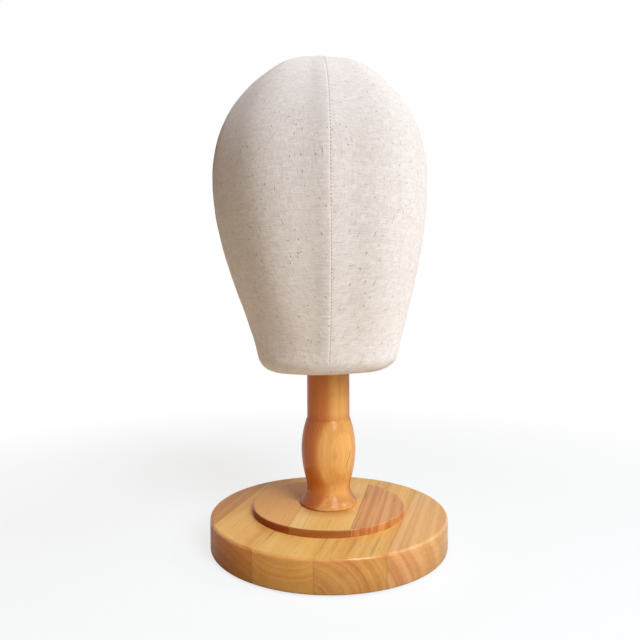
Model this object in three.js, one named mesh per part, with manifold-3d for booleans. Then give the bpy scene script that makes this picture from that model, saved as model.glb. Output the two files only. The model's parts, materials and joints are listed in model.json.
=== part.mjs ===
import * as THREE from 'three';
import { mergeVertices } from 'three/addons/utils/BufferGeometryUtils.js';
import Module from 'manifold-3d';

// A head form covered in linen, which turns and lifts off on the spigot of a turned wooden stand.
// Millimetres, +Z up. The front seam faces -Y, and the felt pads stand on z = 0.

// Clearances
const runningGap = 0.3; // all round a shaft that turns or slides into its hole
const seatGap = 0.3; // between pieces that lie along each other
const glueLine = 0.1; // between two planks

// Felt pads
const padThickness = 1.5;
const padRadius = 10;
const padInset = 19; // from the rim of the base to the middle of a pad
const padCount = 4;

// Base
const baseRadius = 95;
const baseThickness = 24.5;
const baseTopRounding = 2.5;
const baseBottomRounding = 1.2;
const basePlankCount = 5;
const baseLeftPlank = 21; // widths of the outer planks; the others share the rest
const baseRightPlank = 33.7;
const baseGrain = -20.7; // degrees that the planks are turned from front to back

// Plinth
const plinthRadius = 60.8;
const plinthThickness = 5.7;
const plinthRounding = 1;
const plinthPlankCount = 3;
const plinthLeftPlank = 41.9;
const plinthRightPlank = 34.6;
const plinthGrain = -15.3;

// Stem, its heights measured from the top of the plinth
const footRadius = 23;
const footRim = 2.6; // height of the rounded rim of the foot
const waistRadius = 17;
const waistHeight = 16.4;
const swellRadius = 21.9;
const swellHeight = 44.8; // level of the widest part of the swelling
const swellTop = 69.6;
const neckStep = 0.45; // small step where the swelling meets the neck
const neckRadius = 17.2;
const shoulderChamfer = 0.8;
const spigotRadius = 11;
const spigotLength = 70;
const spigotChamfer = 2;
const tenonRadius = 12;

// Head form, its heights measured from its underside
const headClearance = 109.3; // from the top of the plinth to the underside of the head
const headHeight = 245;
const girthHeight = 152.8; // level of the widest section
const girthWidth = 173.2;
const girthFront = 92; // from the axis of the stem to the front
const girthBack = 94.5;
const girthMiddle = 14; // the widest points lie this far behind the axis
const neckWidth = 109.4;
const neckFront = 54;
const neckBack = 64;
const neckMiddle = 2;
const crownBack = 12; // the crown lies this far behind the axis
const crownLean = -5.8; // and this far to the side
const taperPower = 1.55; // how full the sides stay towards the neck
const rimRadius = 11.4; // rounding of the lower edge
const tuckRadius = 5; // and of its inner side, where the cover turns up to the board
const tuckAngle = 60; // degrees
const seamSlant = 4.4; // degrees that the front seam wanders round the neck

// Cover, board and disc under the head
const coverThickness = 1;
const seamGap = 0.3; // between the two panels along the seam
const boardSetback = 2; // from the end of the tuck to the board
const boardThickness = 12;
const hemOverlap = 10; // width of the hem that lies on the board
const discSetback = 0.5; // from the end of the tuck to the disc
const discThickness = 1.4;
const neckRoom = 1.2; // all round the neck in the hole of the disc

// Staples
const stapleCount = 10;
const stapleCrown = 10;
const stapleLeg = 8;
const stapleWire = 0.7;
const stapleWidth = 1.2;

// Socket and washer
const tubeWall = 2.2;
const tubeEndGap = 3; // room above the top of the spigot
const washerThickness = 1.2;
const washerRadius = 16.5;

// Bolt that draws the stem down, with its insert and washer
const boltRadius = 4;
const boltHeadRadius = 7.5;
const boltHeadHeight = 5.3;
const boltReach = 22; // how far the bolt goes up into the tenon
const insertRadius = 6;
const insertLength = 16;
const boreEndGap = 2; // room above the tip of the bolt
const boltWasherRadius = 11;
const boltWasherThickness = 1.6;
const boltHeadCover = 0.8; // the head stays this far inside the base
const webThickness = 3.5; // wood of the base between the bolt's washer and the tenon

// Screws from the base into the plinth
const screwInset = 14; // from the rim of the plinth to a screw
const screwSpread = 25; // degrees from the line across the planks
const screwRadius = 2;
const screwHeadRadius = 3.8;
const screwHeadHeight = 2.4;
const screwTip = 2.5;
const screwBite = 4.2; // how far a screw goes into the plinth
const screwSink = 5; // depth of the hole that its head lies in

// Fineness of the round surfaces
const baseSides = 72;
const plinthSides = 48;
const stemSides = 32;
const smallSides = 20;
const screwSides = 12;
const curveSteps = 5;
const roundingSteps = 3;
const panelColumns = 18;
const tuckRows = 2;
const rimRows = 5;
const sideRows = 10;
const crownRows = 8;

// Heights that follow from the sizes above
const baseTop = padThickness + baseThickness;
const plinthTop = baseTop + plinthThickness;
const headBottom = plinthTop + headClearance;
const tuckTurn = THREE.MathUtils.degToRad(tuckAngle);
const hemHeight = tuckRadius * (1 - Math.cos(tuckTurn)); // above the lowest edge of the head
const tuckInset = rimRadius + tuckRadius * Math.sin(tuckTurn);
const boardLift = hemHeight + coverThickness + seatGap;
const shoulderHeight = headClearance + boardLift - washerThickness;
const tubeInside = spigotLength - washerThickness + tubeEndGap;
const tubeInnerRadius = spigotRadius + runningGap;
const tubeOuterRadius = tubeInnerRadius + tubeWall;
const boardInset = tuckInset + boardSetback;
const hemInset = boardInset + hemOverlap;
const stapleInset = boardInset + hemOverlap / 2;
const webBottom = boltHeadCover + boltHeadHeight + boltWasherThickness; // above the base's underside
const webTop = webBottom + webThickness;
const tenonLength = plinthThickness + baseThickness - webTop - seatGap;

const materials = {
    linen: new THREE.MeshStandardMaterial({ color: 0xf0e6dd, roughness: 0.95 }),
    lining: new THREE.MeshStandardMaterial({ color: 0xe2d5c6, roughness: 0.95 }),
    rubberwood: new THREE.MeshStandardMaterial({ color: 0xdfa668, roughness: 0.35 }),
    darkPlank: new THREE.MeshStandardMaterial({ color: 0xc98f68, roughness: 0.35 }),
    plywood: new THREE.MeshStandardMaterial({ color: 0xd6b98c, roughness: 0.8 }),
    foam: new THREE.MeshStandardMaterial({ color: 0xe8e3d2, roughness: 0.9 }),
    plastic: new THREE.MeshStandardMaterial({ color: 0x2b2b2b, roughness: 0.5 }),
    steel: new THREE.MeshStandardMaterial({ color: 0xb4b6b8, roughness: 0.35, metalness: 1 }),
    felt: new THREE.MeshStandardMaterial({ color: 0x4a3a30, roughness: 1 }),
};

const wasm = await Module();
wasm.setup();

// Helpers

function piece(name, geometry, material, place = {}) {
    const mesh = new THREE.Mesh(geometry, material);
    mesh.name = name;
    mesh.position.set(place.x ?? 0, place.y ?? 0, place.z ?? 0);
    mesh.rotation.z = place.turn ?? 0;
    return mesh;
}

function group(pieces, z = 0, turn = 0) {
    const holder = new THREE.Group();
    holder.add(...pieces);
    holder.position.z = z;
    holder.rotation.z = turn;
    return holder;
}

// A solid of revolution about Z, from a profile of radius and height that runs up the outside
function turned(profile, sides) {
    const geometry = new THREE.LatheGeometry(profile, sides);
    geometry.rotateX(Math.PI / 2);
    return geometry;
}

function corners(list) {
    return list.map(([radius, height]) => new THREE.Vector2(radius, height));
}

function rod(radius, low, high, sides) {
    return turned(corners([[0, low], [radius, low], [radius, high], [0, high]]), sides);
}

function ring(inner, outer, low, high, sides) {
    return turned(corners([[inner, low], [outer, low], [outer, high], [inner, high], [inner, low]]), sides);
}

function toSolid(geometry) {
    const bare = geometry.clone();
    bare.deleteAttribute('normal');
    bare.deleteAttribute('uv');
    const merged = mergeVertices(bare);
    const index = merged.index.array;
    const kept = [];
    for (let k = 0; k < index.length; k += 3) {
        const [a, b, c] = [index[k], index[k + 1], index[k + 2]];
        if (a !== b && b !== c && c !== a) kept.push(a, b, c);
    }
    const mesh = new wasm.Mesh({
        numProp: 3,
        vertProperties: new Float32Array(merged.attributes.position.array),
        triVerts: new Uint32Array(kept),
    });
    return new wasm.Manifold(mesh);
}

function toGeometry(solid) {
    const mesh = solid.getMesh();
    const geometry = new THREE.BufferGeometry();
    geometry.setAttribute('position', new THREE.BufferAttribute(new Float32Array(mesh.vertProperties), 3));
    geometry.setIndex(Array.from(mesh.triVerts));
    geometry.computeVertexNormals();
    return geometry;
}

function cut(geometry, tools) {
    let solid = toSolid(geometry);
    for (const tool of tools) {
        solid = solid.subtract(toSolid(tool));
    }
    return toGeometry(solid);
}

function trianglesToGeometry(points, triangles) {
    const geometry = new THREE.BufferGeometry();
    geometry.setFromPoints(triangles.flat().map((k) => points[k]));
    geometry.computeVertexNormals();
    return geometry;
}

// Edges that only one triangle of a surface uses, each as it runs in that triangle
function openEdges(triangles) {
    const edges = new Map();
    for (const [a, b, c] of triangles) {
        for (const [from, to] of [[a, b], [b, c], [c, a]]) {
            if (!edges.delete(`${to} ${from}`)) edges.set(`${from} ${to}`, [from, to]);
        }
    }
    return [...edges.values()];
}

// Felt pads

function footPads() {
    const geometry = rod(padRadius, 0, padThickness, smallSides);
    const pads = [];
    for (let k = 0; k < padCount; k++) {
        const angle = ((k + 0.5) / padCount) * 2 * Math.PI;
        const x = (baseRadius - padInset) * Math.cos(angle);
        const y = (baseRadius - padInset) * Math.sin(angle);
        pads.push(piece(`foot_pad_${k + 1}`, geometry, materials.felt, { x, y }));
    }
    return pads;
}

// Glued planks

// Cuts a disc along its glue lines, which run along Y, into one geometry for each plank, left to right
function planks(disc, { radius, thickness, count, leftPlank, rightPlank }) {
    const firstLine = leftPlank - radius;
    const lastLine = radius - rightPlank;
    const edges = [-2 * radius];
    for (let k = 0; k < count - 1; k++) {
        edges.push(firstLine + ((lastLine - firstLine) * k) / (count - 2));
    }
    edges.push(2 * radius);
    const solid = toSolid(disc);
    const pieces = [];
    for (let k = 0; k < count; k++) {
        const width = edges[k + 1] - edges[k] - glueLine;
        const slab = new THREE.BoxGeometry(width, 4 * radius, 4 * thickness);
        slab.translate((edges[k] + edges[k + 1]) / 2, 0, 0);
        pieces.push(toGeometry(solid.intersect(toSolid(slab))));
    }
    return pieces;
}

function discProfile(radius, thickness, bottomRounding, topRounding) {
    const path = new THREE.Path();
    path.moveTo(0, 0);
    path.lineTo(radius - bottomRounding, 0);
    path.quadraticCurveTo(radius, 0, radius, bottomRounding);
    path.lineTo(radius, thickness - topRounding);
    path.quadraticCurveTo(radius, thickness, radius - topRounding, thickness);
    path.lineTo(0, thickness);
    return path.getPoints(roundingSteps);
}

// Places of the screws, in the frame of the base's planks
function screwPlaces() {
    const spread = THREE.MathUtils.degToRad(screwSpread);
    return [spread, Math.PI - spread, Math.PI + spread, -spread].map((angle) => ({
        x: (plinthRadius - screwInset) * Math.cos(angle),
        y: (plinthRadius - screwInset) * Math.sin(angle),
    }));
}

// Holes for the screws, in the frame of the planks that they are cut in
function screwHoles(radius, low, high, grain) {
    const turn = THREE.MathUtils.degToRad(baseGrain - grain);
    return screwPlaces().map(({ x, y }) => {
        const hole = rod(radius, low, high, screwSides);
        hole.translate(x, y, 0);
        hole.rotateZ(turn);
        return hole;
    });
}

function basePlanks() {
    const profile = discProfile(baseRadius, baseThickness, baseBottomRounding, baseTopRounding);
    const disc = cut(turned(profile, baseSides), [
        rod(tenonRadius + seatGap, webTop, baseThickness + 1, stemSides),
        rod(boltRadius + seatGap, -1, webTop + 1, smallSides),
        rod(boltWasherRadius + seatGap, -1, webBottom, stemSides),
        ...screwHoles(screwRadius + seatGap, -1, baseThickness + 1, baseGrain),
        ...screwHoles(screwHeadRadius + seatGap, -1, screwSink, baseGrain),
    ]);
    const parts = planks(disc, {
        radius: baseRadius,
        thickness: baseThickness,
        count: basePlankCount,
        leftPlank: baseLeftPlank,
        rightPlank: baseRightPlank,
    });
    return parts.map((geometry, k) => piece(`base_plank_${k + 1}`, geometry, materials.rubberwood));
}

function plinthPlanks() {
    const profile = discProfile(plinthRadius, plinthThickness, 0, plinthRounding);
    const disc = cut(turned(profile, plinthSides), [
        rod(tenonRadius + seatGap, -1, plinthThickness + 1, stemSides),
        ...screwHoles(screwRadius + seatGap, -1, screwBite + seatGap, plinthGrain),
    ]);
    const parts = planks(disc, {
        radius: plinthRadius,
        thickness: plinthThickness,
        count: plinthPlankCount,
        leftPlank: plinthLeftPlank,
        rightPlank: plinthRightPlank,
    });
    return parts.map((geometry, k) => {
        const isLast = k === parts.length - 1;
        return piece(`plinth_plank_${k + 1}`, geometry, isLast ? materials.darkPlank : materials.rubberwood);
    });
}

function plinthScrews() {
    const length = baseThickness - screwSink + screwBite;
    const geometry = turned(corners([
        [0, -screwHeadHeight],
        [screwHeadRadius * 0.7, -screwHeadHeight],
        [screwHeadRadius, -screwHeadHeight / 2],
        [screwHeadRadius, 0],
        [screwRadius, 0],
        [screwRadius, length - screwTip],
        [0, length],
    ]), screwSides);
    return screwPlaces().map(({ x, y }, k) =>
        piece(`plinth_screw_${k + 1}`, geometry, materials.steel, { x, y, z: screwSink }));
}

// Stem

// One turned piece: tenon, moulded foot, waist, swelling, neck and spigot, bored for the insert and the bolt
function stem() {
    const profile = new THREE.Path();
    const boreTop = boltReach + boreEndGap - tenonLength;
    profile.moveTo(0, boreTop);
    profile.lineTo(insertRadius + seatGap, boreTop);
    profile.lineTo(insertRadius + seatGap, -tenonLength);
    profile.lineTo(tenonRadius, -tenonLength);
    profile.lineTo(tenonRadius, 0);
    profile.lineTo(footRadius - footRim / 2, 0);
    profile.quadraticCurveTo(footRadius, 0, footRadius, footRim / 2);
    profile.quadraticCurveTo(footRadius, footRim, footRadius - footRim / 4, footRim);
    profile.quadraticCurveTo(waistRadius, (footRim + waistHeight) / 2, waistRadius, waistHeight);
    profile.quadraticCurveTo(swellRadius, (waistHeight + swellHeight) / 2, swellRadius, swellHeight);
    profile.quadraticCurveTo(swellRadius, (swellHeight + swellTop) / 2, neckRadius + neckStep, swellTop);
    profile.lineTo(neckRadius, swellTop + neckStep);
    profile.lineTo(neckRadius, shoulderHeight - shoulderChamfer);
    profile.lineTo(neckRadius - shoulderChamfer, shoulderHeight);
    profile.lineTo(spigotRadius, shoulderHeight);
    profile.lineTo(spigotRadius, shoulderHeight + spigotLength - spigotChamfer);
    profile.lineTo(spigotRadius - spigotChamfer, shoulderHeight + spigotLength);
    profile.lineTo(0, shoulderHeight + spigotLength);
    return piece('stem', turned(profile.getPoints(curveSteps), stemSides), materials.rubberwood);
}

function stemInsert() {
    const geometry = ring(boltRadius + seatGap, insertRadius, 0, insertLength, smallSides);
    return piece('stem_insert', geometry, materials.steel, { z: -tenonLength });
}

// Bolt with a hexagonal head, its height measured from the underside of the base's web
function baseBolt() {
    const shank = toSolid(rod(boltRadius, -boltWasherThickness - 1, webTop - webBottom + boltReach, smallSides));
    const headTop = -boltWasherThickness;
    const head = toSolid(rod(boltHeadRadius, headTop - boltHeadHeight, headTop, 6));
    return piece('base_bolt', toGeometry(shank.add(head)), materials.steel, { z: webBottom });
}

function baseWasher() {
    const geometry = ring(boltRadius + seatGap, boltWasherRadius, -boltWasherThickness, 0, stemSides);
    return piece('base_washer', geometry, materials.steel, { z: webBottom });
}

// Washer between the shoulder of the stem and the board
function swivelWasher() {
    const geometry = ring(tubeInnerRadius, washerRadius, 0, washerThickness, stemSides);
    return piece('swivel_washer', geometry, materials.plastic, { z: boardLift - washerThickness });
}

// Head form

// Section of the head at a height: how far it reaches each way, and where its widest points and seam lie
function headSection(height) {
    const isCrown = height > girthHeight;
    const rise = isCrown ? (height - girthHeight) / (headHeight - girthHeight) : 0;
    const fall = isCrown ? 0 : 1 - height / girthHeight;
    const dome = Math.sqrt(Math.max(0, 1 - rise ** 2));
    const taper = (1 - fall ** 2) ** taperPower;
    const between = (neck, girth, crown) =>
        (isCrown ? crown + (girth - crown) * dome : neck + (girth - neck) * taper);
    return {
        halfWidth: between(neckWidth / 2, girthWidth / 2, 0),
        front: between(neckFront, girthFront, -crownBack),
        back: between(neckBack, girthBack, crownBack),
        middle: between(neckMiddle, girthMiddle, crownBack),
        lean: crownLean * THREE.MathUtils.smoothstep(1 - fall, 0, 1),
        seam: -THREE.MathUtils.degToRad(seamSlant) * fall ** 2,
    };
}

// A point of the head's outline at a height. The share runs round it from the front seam, over the right side, and
// is 0.5 at the back seam. The two halves of the outline are half ellipses that meet at the widest points.
function headPoint(height, inset, share) {
    const section = headSection(height);
    const half = share < 0.5 ? share * 2 : share * 2 - 1;
    const from = share < 0.5 ? section.seam : Math.PI;
    const to = share < 0.5 ? Math.PI : 2 * Math.PI + section.seam;
    const angle = from + (to - from) * half;
    const forward = Math.cos(angle);
    const reach = forward > 0 ? section.front + section.middle : section.back - section.middle;
    return new THREE.Vector3(
        section.lean + (section.halfWidth - inset) * Math.sin(angle),
        section.middle - (reach - inset) * forward,
        height,
    );
}

// Rows of the skin from the hem's inner edge, down the tuck, round the lower edge and up the sides to the crown
function headRows() {
    const rows = [];
    rows.push({ height: hemHeight, inset: hemInset });
    for (let k = tuckRows; k > 0; k--) {
        const angle = (tuckTurn * k) / tuckRows;
        rows.push({ height: tuckRadius * (1 - Math.cos(angle)), inset: rimRadius + tuckRadius * Math.sin(angle) });
    }
    for (let k = 0; k <= rimRows; k++) {
        const angle = ((k / rimRows) * Math.PI) / 2;
        rows.push({ height: rimRadius * (1 - Math.cos(angle)), inset: rimRadius * (1 - Math.sin(angle)) });
    }
    for (let k = 1; k <= sideRows; k++) {
        rows.push({ height: rimRadius + ((girthHeight - rimRadius) * k) / sideRows, inset: 0 });
    }
    for (let k = 1; k <= crownRows; k++) {
        const angle = ((k / (crownRows + 1)) * Math.PI) / 2;
        rows.push({ height: girthHeight + (headHeight - girthHeight) * Math.sin(angle), inset: 0 });
    }
    return rows;
}

const skinRows = headRows();
const skinColumns = 2 * panelColumns;

// Triangles of the skin between two columns, which meet at the crown
function skinTriangles(firstColumn, lastColumn) {
    const crown = skinRows.length * skinColumns;
    const at = (row, column) => row * skinColumns + (column % skinColumns);
    const triangles = [];
    for (let column = firstColumn; column < lastColumn; column++) {
        for (let row = 0; row + 1 < skinRows.length; row++) {
            triangles.push([at(row, column), at(row, column + 1), at(row + 1, column + 1)]);
            triangles.push([at(row, column), at(row + 1, column + 1), at(row + 1, column)]);
        }
        const top = skinRows.length - 1;
        triangles.push([at(top, column), at(top, column + 1), crown]);
    }
    return triangles;
}

function skinPoints() {
    const points = skinRows.flatMap(({ height, inset }) =>
        Array.from({ length: skinColumns }, (_, k) => headPoint(height, inset, k / skinColumns)));
    points.push(headPoint(headHeight, 0, 0));
    return points;
}

// The skin's points moved inwards, square to the surface
function movedIn(points, distance) {
    const skin = new THREE.BufferGeometry();
    skin.setFromPoints(points);
    skin.setIndex(skinTriangles(0, skinColumns).flat());
    skin.computeVertexNormals();
    const normal = new THREE.Vector3();
    return points.map((point, k) => {
        normal.fromBufferAttribute(skin.attributes.normal, k);
        return point.clone().addScaledVector(normal, -distance);
    });
}

// Outline of the underside, moved in by a distance
function undersideOutline(inset) {
    const steps = Array.from({ length: skinColumns }, (_, k) => headPoint(0, inset, k / skinColumns));
    return new THREE.Shape(steps.map((point) => new THREE.Vector2(point.x, point.y)));
}

function plate(inset, holeRadius, low, high) {
    const outline = undersideOutline(inset);
    if (holeRadius > 0) {
        const hole = new THREE.Path();
        hole.absarc(0, 0, holeRadius, 0, 2 * Math.PI, true);
        outline.holes.push(hole);
    }
    const options = { depth: high - low, bevelEnabled: false, curveSegments: stemSides / 2 };
    const geometry = new THREE.ExtrudeGeometry(outline, options);
    geometry.translate(0, 0, low);
    return geometry;
}

// Core

function foamCore() {
    const points = movedIn(skinPoints(), coverThickness + seatGap);
    const triangles = skinTriangles(0, skinColumns);
    const middle = points.length;
    const floor = openEdges(triangles).map(([from, to]) => [to, from, middle]);
    points.push(new THREE.Vector3(0, 0, boardLift));
    const core = trianglesToGeometry(points, [...triangles, ...floor]);
    const tubeTop = boardLift + tubeInside + tubeWall;
    return piece('foam_core', cut(core, [
        plate(boardInset - seatGap, 0, 0, boardLift + boardThickness + seatGap),
        rod(tubeOuterRadius + seatGap, 0, tubeTop + seatGap, stemSides),
    ]), materials.foam);
}

function socketTube() {
    const profile = corners([
        [0, tubeInside],
        [tubeInnerRadius, tubeInside],
        [tubeInnerRadius, 0],
        [tubeOuterRadius, 0],
        [tubeOuterRadius, tubeInside + tubeWall],
        [0, tubeInside + tubeWall],
    ]);
    return piece('socket_tube', turned(profile, stemSides), materials.plastic, { z: boardLift });
}

// Cover

// Places of the staples, half a step away from the seams, each turned along the hem
function staplePlaces() {
    const step = 1 / (4 * skinColumns);
    return Array.from({ length: stapleCount }, (_, k) => {
        const share = (k + 0.5) / stapleCount;
        const middle = headPoint(0, stapleInset, share);
        const along = headPoint(0, stapleInset, share + step).sub(middle);
        return { x: middle.x, y: middle.y, z: hemHeight, turn: Math.atan2(along.y, along.x) };
    });
}

// Slots that the staples' legs have made
function stapleSlots() {
    const width = stapleWire + 2 * seatGap;
    const depth = stapleWidth + 2 * seatGap;
    const height = stapleLeg + seatGap;
    return staplePlaces().flatMap(({ x, y, z, turn }) =>
        [-1, 1].map((side) => {
            const slot = new THREE.BoxGeometry(width, depth, height + stapleWire);
            slot.translate((side * (stapleCrown - stapleWire)) / 2, 0, (height - stapleWire) / 2);
            slot.rotateZ(turn);
            slot.translate(x, y, z);
            return slot;
        }));
}

// Half of the cover, from seam to seam, with its lower edge turned in under the core
function coverPanel(name, firstColumn, side) {
    const outside = skinPoints();
    const inside = movedIn(outside, coverThickness);
    const triangles = skinTriangles(firstColumn, firstColumn + panelColumns);
    const inner = (k) => k + outside.length;
    const lining = triangles.map(([a, b, c]) => [inner(a), inner(c), inner(b)]);
    const edges = openEdges(triangles).flatMap(([from, to]) => [
        [to, from, inner(from)],
        [to, inner(from), inner(to)],
    ]);
    const panel = trianglesToGeometry([...outside, ...inside], [...triangles, ...lining, ...edges]);
    panel.translate((side * seamGap) / 2, 0, 0);
    return piece(name, cut(panel, stapleSlots()), materials.linen);
}

function bottomBoard() {
    const board = plate(boardInset, tubeOuterRadius + seatGap, boardLift, boardLift + boardThickness);
    return piece('bottom_board', cut(board, stapleSlots()), materials.plywood);
}

function hemStaples() {
    const outline = new THREE.Shape();
    const half = stapleCrown / 2;
    outline.moveTo(-half, -stapleWire);
    outline.lineTo(half, -stapleWire);
    outline.lineTo(half, stapleLeg);
    outline.lineTo(half - stapleWire, stapleLeg);
    outline.lineTo(half - stapleWire, 0);
    outline.lineTo(stapleWire - half, 0);
    outline.lineTo(stapleWire - half, stapleLeg);
    outline.lineTo(-half, stapleLeg);
    const geometry = new THREE.ExtrudeGeometry(outline, { depth: stapleWidth, bevelEnabled: false });
    geometry.translate(0, 0, -stapleWidth / 2);
    geometry.rotateX(Math.PI / 2);
    return staplePlaces().map((place, k) =>
        piece(`hem_staple_${String(k + 1).padStart(2, '0')}`, geometry, materials.steel, place));
}

// Cloth-covered card that hides the hem, with a hole for the neck of the stem
function undersideDisc() {
    const top = hemHeight - stapleWire;
    const geometry = plate(tuckInset + discSetback, neckRadius + neckRoom, top - discThickness, top);
    return piece('underside_disc', geometry, materials.lining);
}

// Assembly

const stand = group([
    ...footPads(),
    group([...basePlanks(), ...plinthScrews()], padThickness, THREE.MathUtils.degToRad(baseGrain)),
    group(plinthPlanks(), baseTop, THREE.MathUtils.degToRad(plinthGrain)),
    group([baseBolt(), baseWasher()], padThickness),
    group([stem(), stemInsert()], plinthTop),
]);

const head = group([
    foamCore(),
    bottomBoard(),
    socketTube(),
    coverPanel('cover_panel_right', 0, 1),
    coverPanel('cover_panel_left', panelColumns, -1),
    ...hemStaples(),
    undersideDisc(),
    swivelWasher(),
], headBottom);

const headForm = group([stand, head]);
export default headForm;
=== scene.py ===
import json
import math

import bmesh
import bpy
import numpy as np
from mathutils import Matrix, Vector


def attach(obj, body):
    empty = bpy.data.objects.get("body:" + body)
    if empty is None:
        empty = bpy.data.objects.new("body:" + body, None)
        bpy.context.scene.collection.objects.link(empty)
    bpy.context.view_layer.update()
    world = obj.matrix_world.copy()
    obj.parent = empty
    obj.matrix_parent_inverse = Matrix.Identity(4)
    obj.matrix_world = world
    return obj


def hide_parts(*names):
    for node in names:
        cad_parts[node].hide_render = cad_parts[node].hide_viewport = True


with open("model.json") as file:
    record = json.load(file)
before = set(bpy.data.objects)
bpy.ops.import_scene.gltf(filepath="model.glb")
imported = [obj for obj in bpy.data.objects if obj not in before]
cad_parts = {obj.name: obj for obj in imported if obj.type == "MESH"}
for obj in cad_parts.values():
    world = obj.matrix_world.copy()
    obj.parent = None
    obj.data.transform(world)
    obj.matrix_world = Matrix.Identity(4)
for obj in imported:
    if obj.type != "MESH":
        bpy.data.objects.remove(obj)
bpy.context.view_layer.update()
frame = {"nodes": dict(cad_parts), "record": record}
print("frame loaded:", len(frame["nodes"]), "CAD nodes")

mm = 0.001  # the sizes below are in millimetres, in the frame of the CAD model
baseUnderside = 1.5
baseTop = 26.0
plinthTop = 31.7
headBottom = 141.0


def addObject(name, data):
    made = bpy.data.objects.new(name, data)
    bpy.context.scene.collection.objects.link(made)
    return made


# Camera

camera = {
    "place": (-38.72, -480.98, 193.72),
    "heading": 3.837,  # degrees from +Y towards +X
    "pitch": 1.585,  # degrees down
    "roll": -0.24,
    "lens": 33.604, "sensor": 36.0,
    "near": 0.01,
}


def makeCamera(settings):
    heading, pitch, roll = (math.radians(settings[key]) for key in ("heading", "pitch", "roll"))
    forward = Vector((
        math.sin(heading) * math.cos(pitch),
        math.cos(heading) * math.cos(pitch),
        -math.sin(pitch),
    ))
    right = Vector((math.cos(heading), -math.sin(heading), 0))
    up = right.cross(forward)
    turnedRight = right * math.cos(roll) + up * math.sin(roll)
    turnedUp = turnedRight.cross(forward)
    lens = bpy.data.cameras.new("camera")
    lens.sensor_width = settings["sensor"]
    lens.lens = settings["lens"]
    lens.clip_start = settings["near"]
    holder = addObject("camera", lens)
    axes = Matrix((turnedRight, turnedUp, -forward)).transposed().to_4x4()
    holder.matrix_world = Matrix.Translation(Vector(settings["place"]) * mm) @ axes
    bpy.context.scene.camera = holder
    bpy.context.scene.view_settings.view_transform = "Standard"


makeCamera(camera)
print("camera placed")


# Shader nodes

# An output of a node, to reckon with like a number or a vector. Each step makes one more maths node.
class Flow:
    def __init__(self, socket):
        self.socket = socket
        self.tree = socket.id_data
        self.isVector = socket.type in ("VECTOR", "RGBA")

    def __add__(self, other):
        return reckon("ADD", self, other)

    def __sub__(self, other):
        return reckon("SUBTRACT", self, other)

    def __rsub__(self, other):
        return reckon("SUBTRACT", other, self)

    def __mul__(self, other):
        return reckon("MULTIPLY", self, other)

    def __truediv__(self, other):
        return reckon("DIVIDE", self, other)

    def __abs__(self):
        return reckon("ABSOLUTE", self)

    def parts(self):
        split = addNode(self.tree, "ShaderNodeSeparateXYZ", {"Vector": self})
        return [Flow(socket) for socket in split.outputs]


def treeOf(*values):
    return next(value.tree for value in values if isinstance(value, Flow))


def feed(socket, value):
    if isinstance(value, Flow):
        socket.id_data.links.new(value.socket, socket)
    else:
        isColour = socket.type == "RGBA" and len(value) == 3
        socket.default_value = (*value, 1) if isColour else value


def addNode(tree, kind, values=None, **settings):
    made = tree.nodes.new(kind)
    for key, value in settings.items():
        setattr(made, key, value)
    for key, value in (values or {}).items():
        feed(made.inputs[key], value)
    return made


# Adds a node and gives one of its outputs
def outputOf(tree, kind, values=None, output=0, **settings):
    return Flow(addNode(tree, kind, values, **settings).outputs[output])


def reckon(operation, *values):
    isVector = any(isinstance(value, Flow) and value.isVector for value in values)
    kind = "ShaderNodeVectorMath" if isVector else "ShaderNodeMath"
    given = ((value,) * 3 if isVector and isinstance(value, float) else value for value in values)
    output = "Value" if operation == "LENGTH" else 0
    return outputOf(treeOf(*values), kind, dict(enumerate(given)), output, operation=operation)


def remap(value, low, high, toLow=0.0, toHigh=1.0, curved=True):
    keys = ("Value", "From Min", "From Max", "To Min", "To Max")
    values = dict(zip(keys, (value, low, high, toLow, toHigh)))
    kind = "SMOOTHSTEP" if curved else "LINEAR"
    return outputOf(value.tree, "ShaderNodeMapRange", values, interpolation_type=kind)


def mixColour(factor, first, second, mode="MIX"):
    tree, values = treeOf(factor, first, second), {0: factor, 6: first, 7: second}
    return outputOf(tree, "ShaderNodeMix", values, 2, data_type="RGBA", blend_type=mode)


def mixValue(factor, first, second):
    tree, values = treeOf(factor, first, second), {0: factor, 2: first, 3: second}
    return outputOf(tree, "ShaderNodeMix", values, data_type="FLOAT")


def noise(vector, scale=1.0, detail=2.0, roughness=0.5, output="Fac"):
    values = {"Vector": vector, "Scale": scale, "Detail": detail, "Roughness": roughness}
    return outputOf(vector.tree, "ShaderNodeTexNoise", values, output)


def lineNoise(position, detail):
    values = {"W": position, "Scale": 1.0, "Detail": detail}
    return outputOf(position.tree, "ShaderNodeTexNoise", values, "Fac", noise_dimensions="1D")


def combine(x, y, z):
    return outputOf(treeOf(x, y, z), "ShaderNodeCombineXYZ", {"X": x, "Y": y, "Z": z})


def attribute(tree, name, output="Vector"):
    return outputOf(tree, "ShaderNodeAttribute", output=output, attribute_name=name)


def coordinate(tree, output):
    return outputOf(tree, "ShaderNodeTexCoord", output=output)


def newGroup(name, inputs, outputs):
    tree = bpy.data.node_groups.new(name, "ShaderNodeTree")
    kinds = {"value": "NodeSocketFloat", "colour": "NodeSocketColor", "vector": "NodeSocketVector"}
    for label, (kind, value) in inputs.items():
        socket = tree.interface.new_socket(name=label, in_out="INPUT", socket_type=kinds[kind])
        socket.default_value = value
    for label, kind in outputs.items():
        tree.interface.new_socket(name=label, in_out="OUTPUT", socket_type=kinds[kind])
    given = tree.nodes.new("NodeGroupInput").outputs
    wanted = tree.nodes.new("NodeGroupOutput").inputs
    return tree, {label: Flow(given[label]) for label in inputs}, wanted


def placeGroup(tree, group, values):
    made = tree.nodes.new("ShaderNodeGroup")
    made.node_tree = group
    for key, value in values.items():
        feed(made.inputs[key], value)
    return {socket.name: Flow(socket) for socket in made.outputs}


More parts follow.
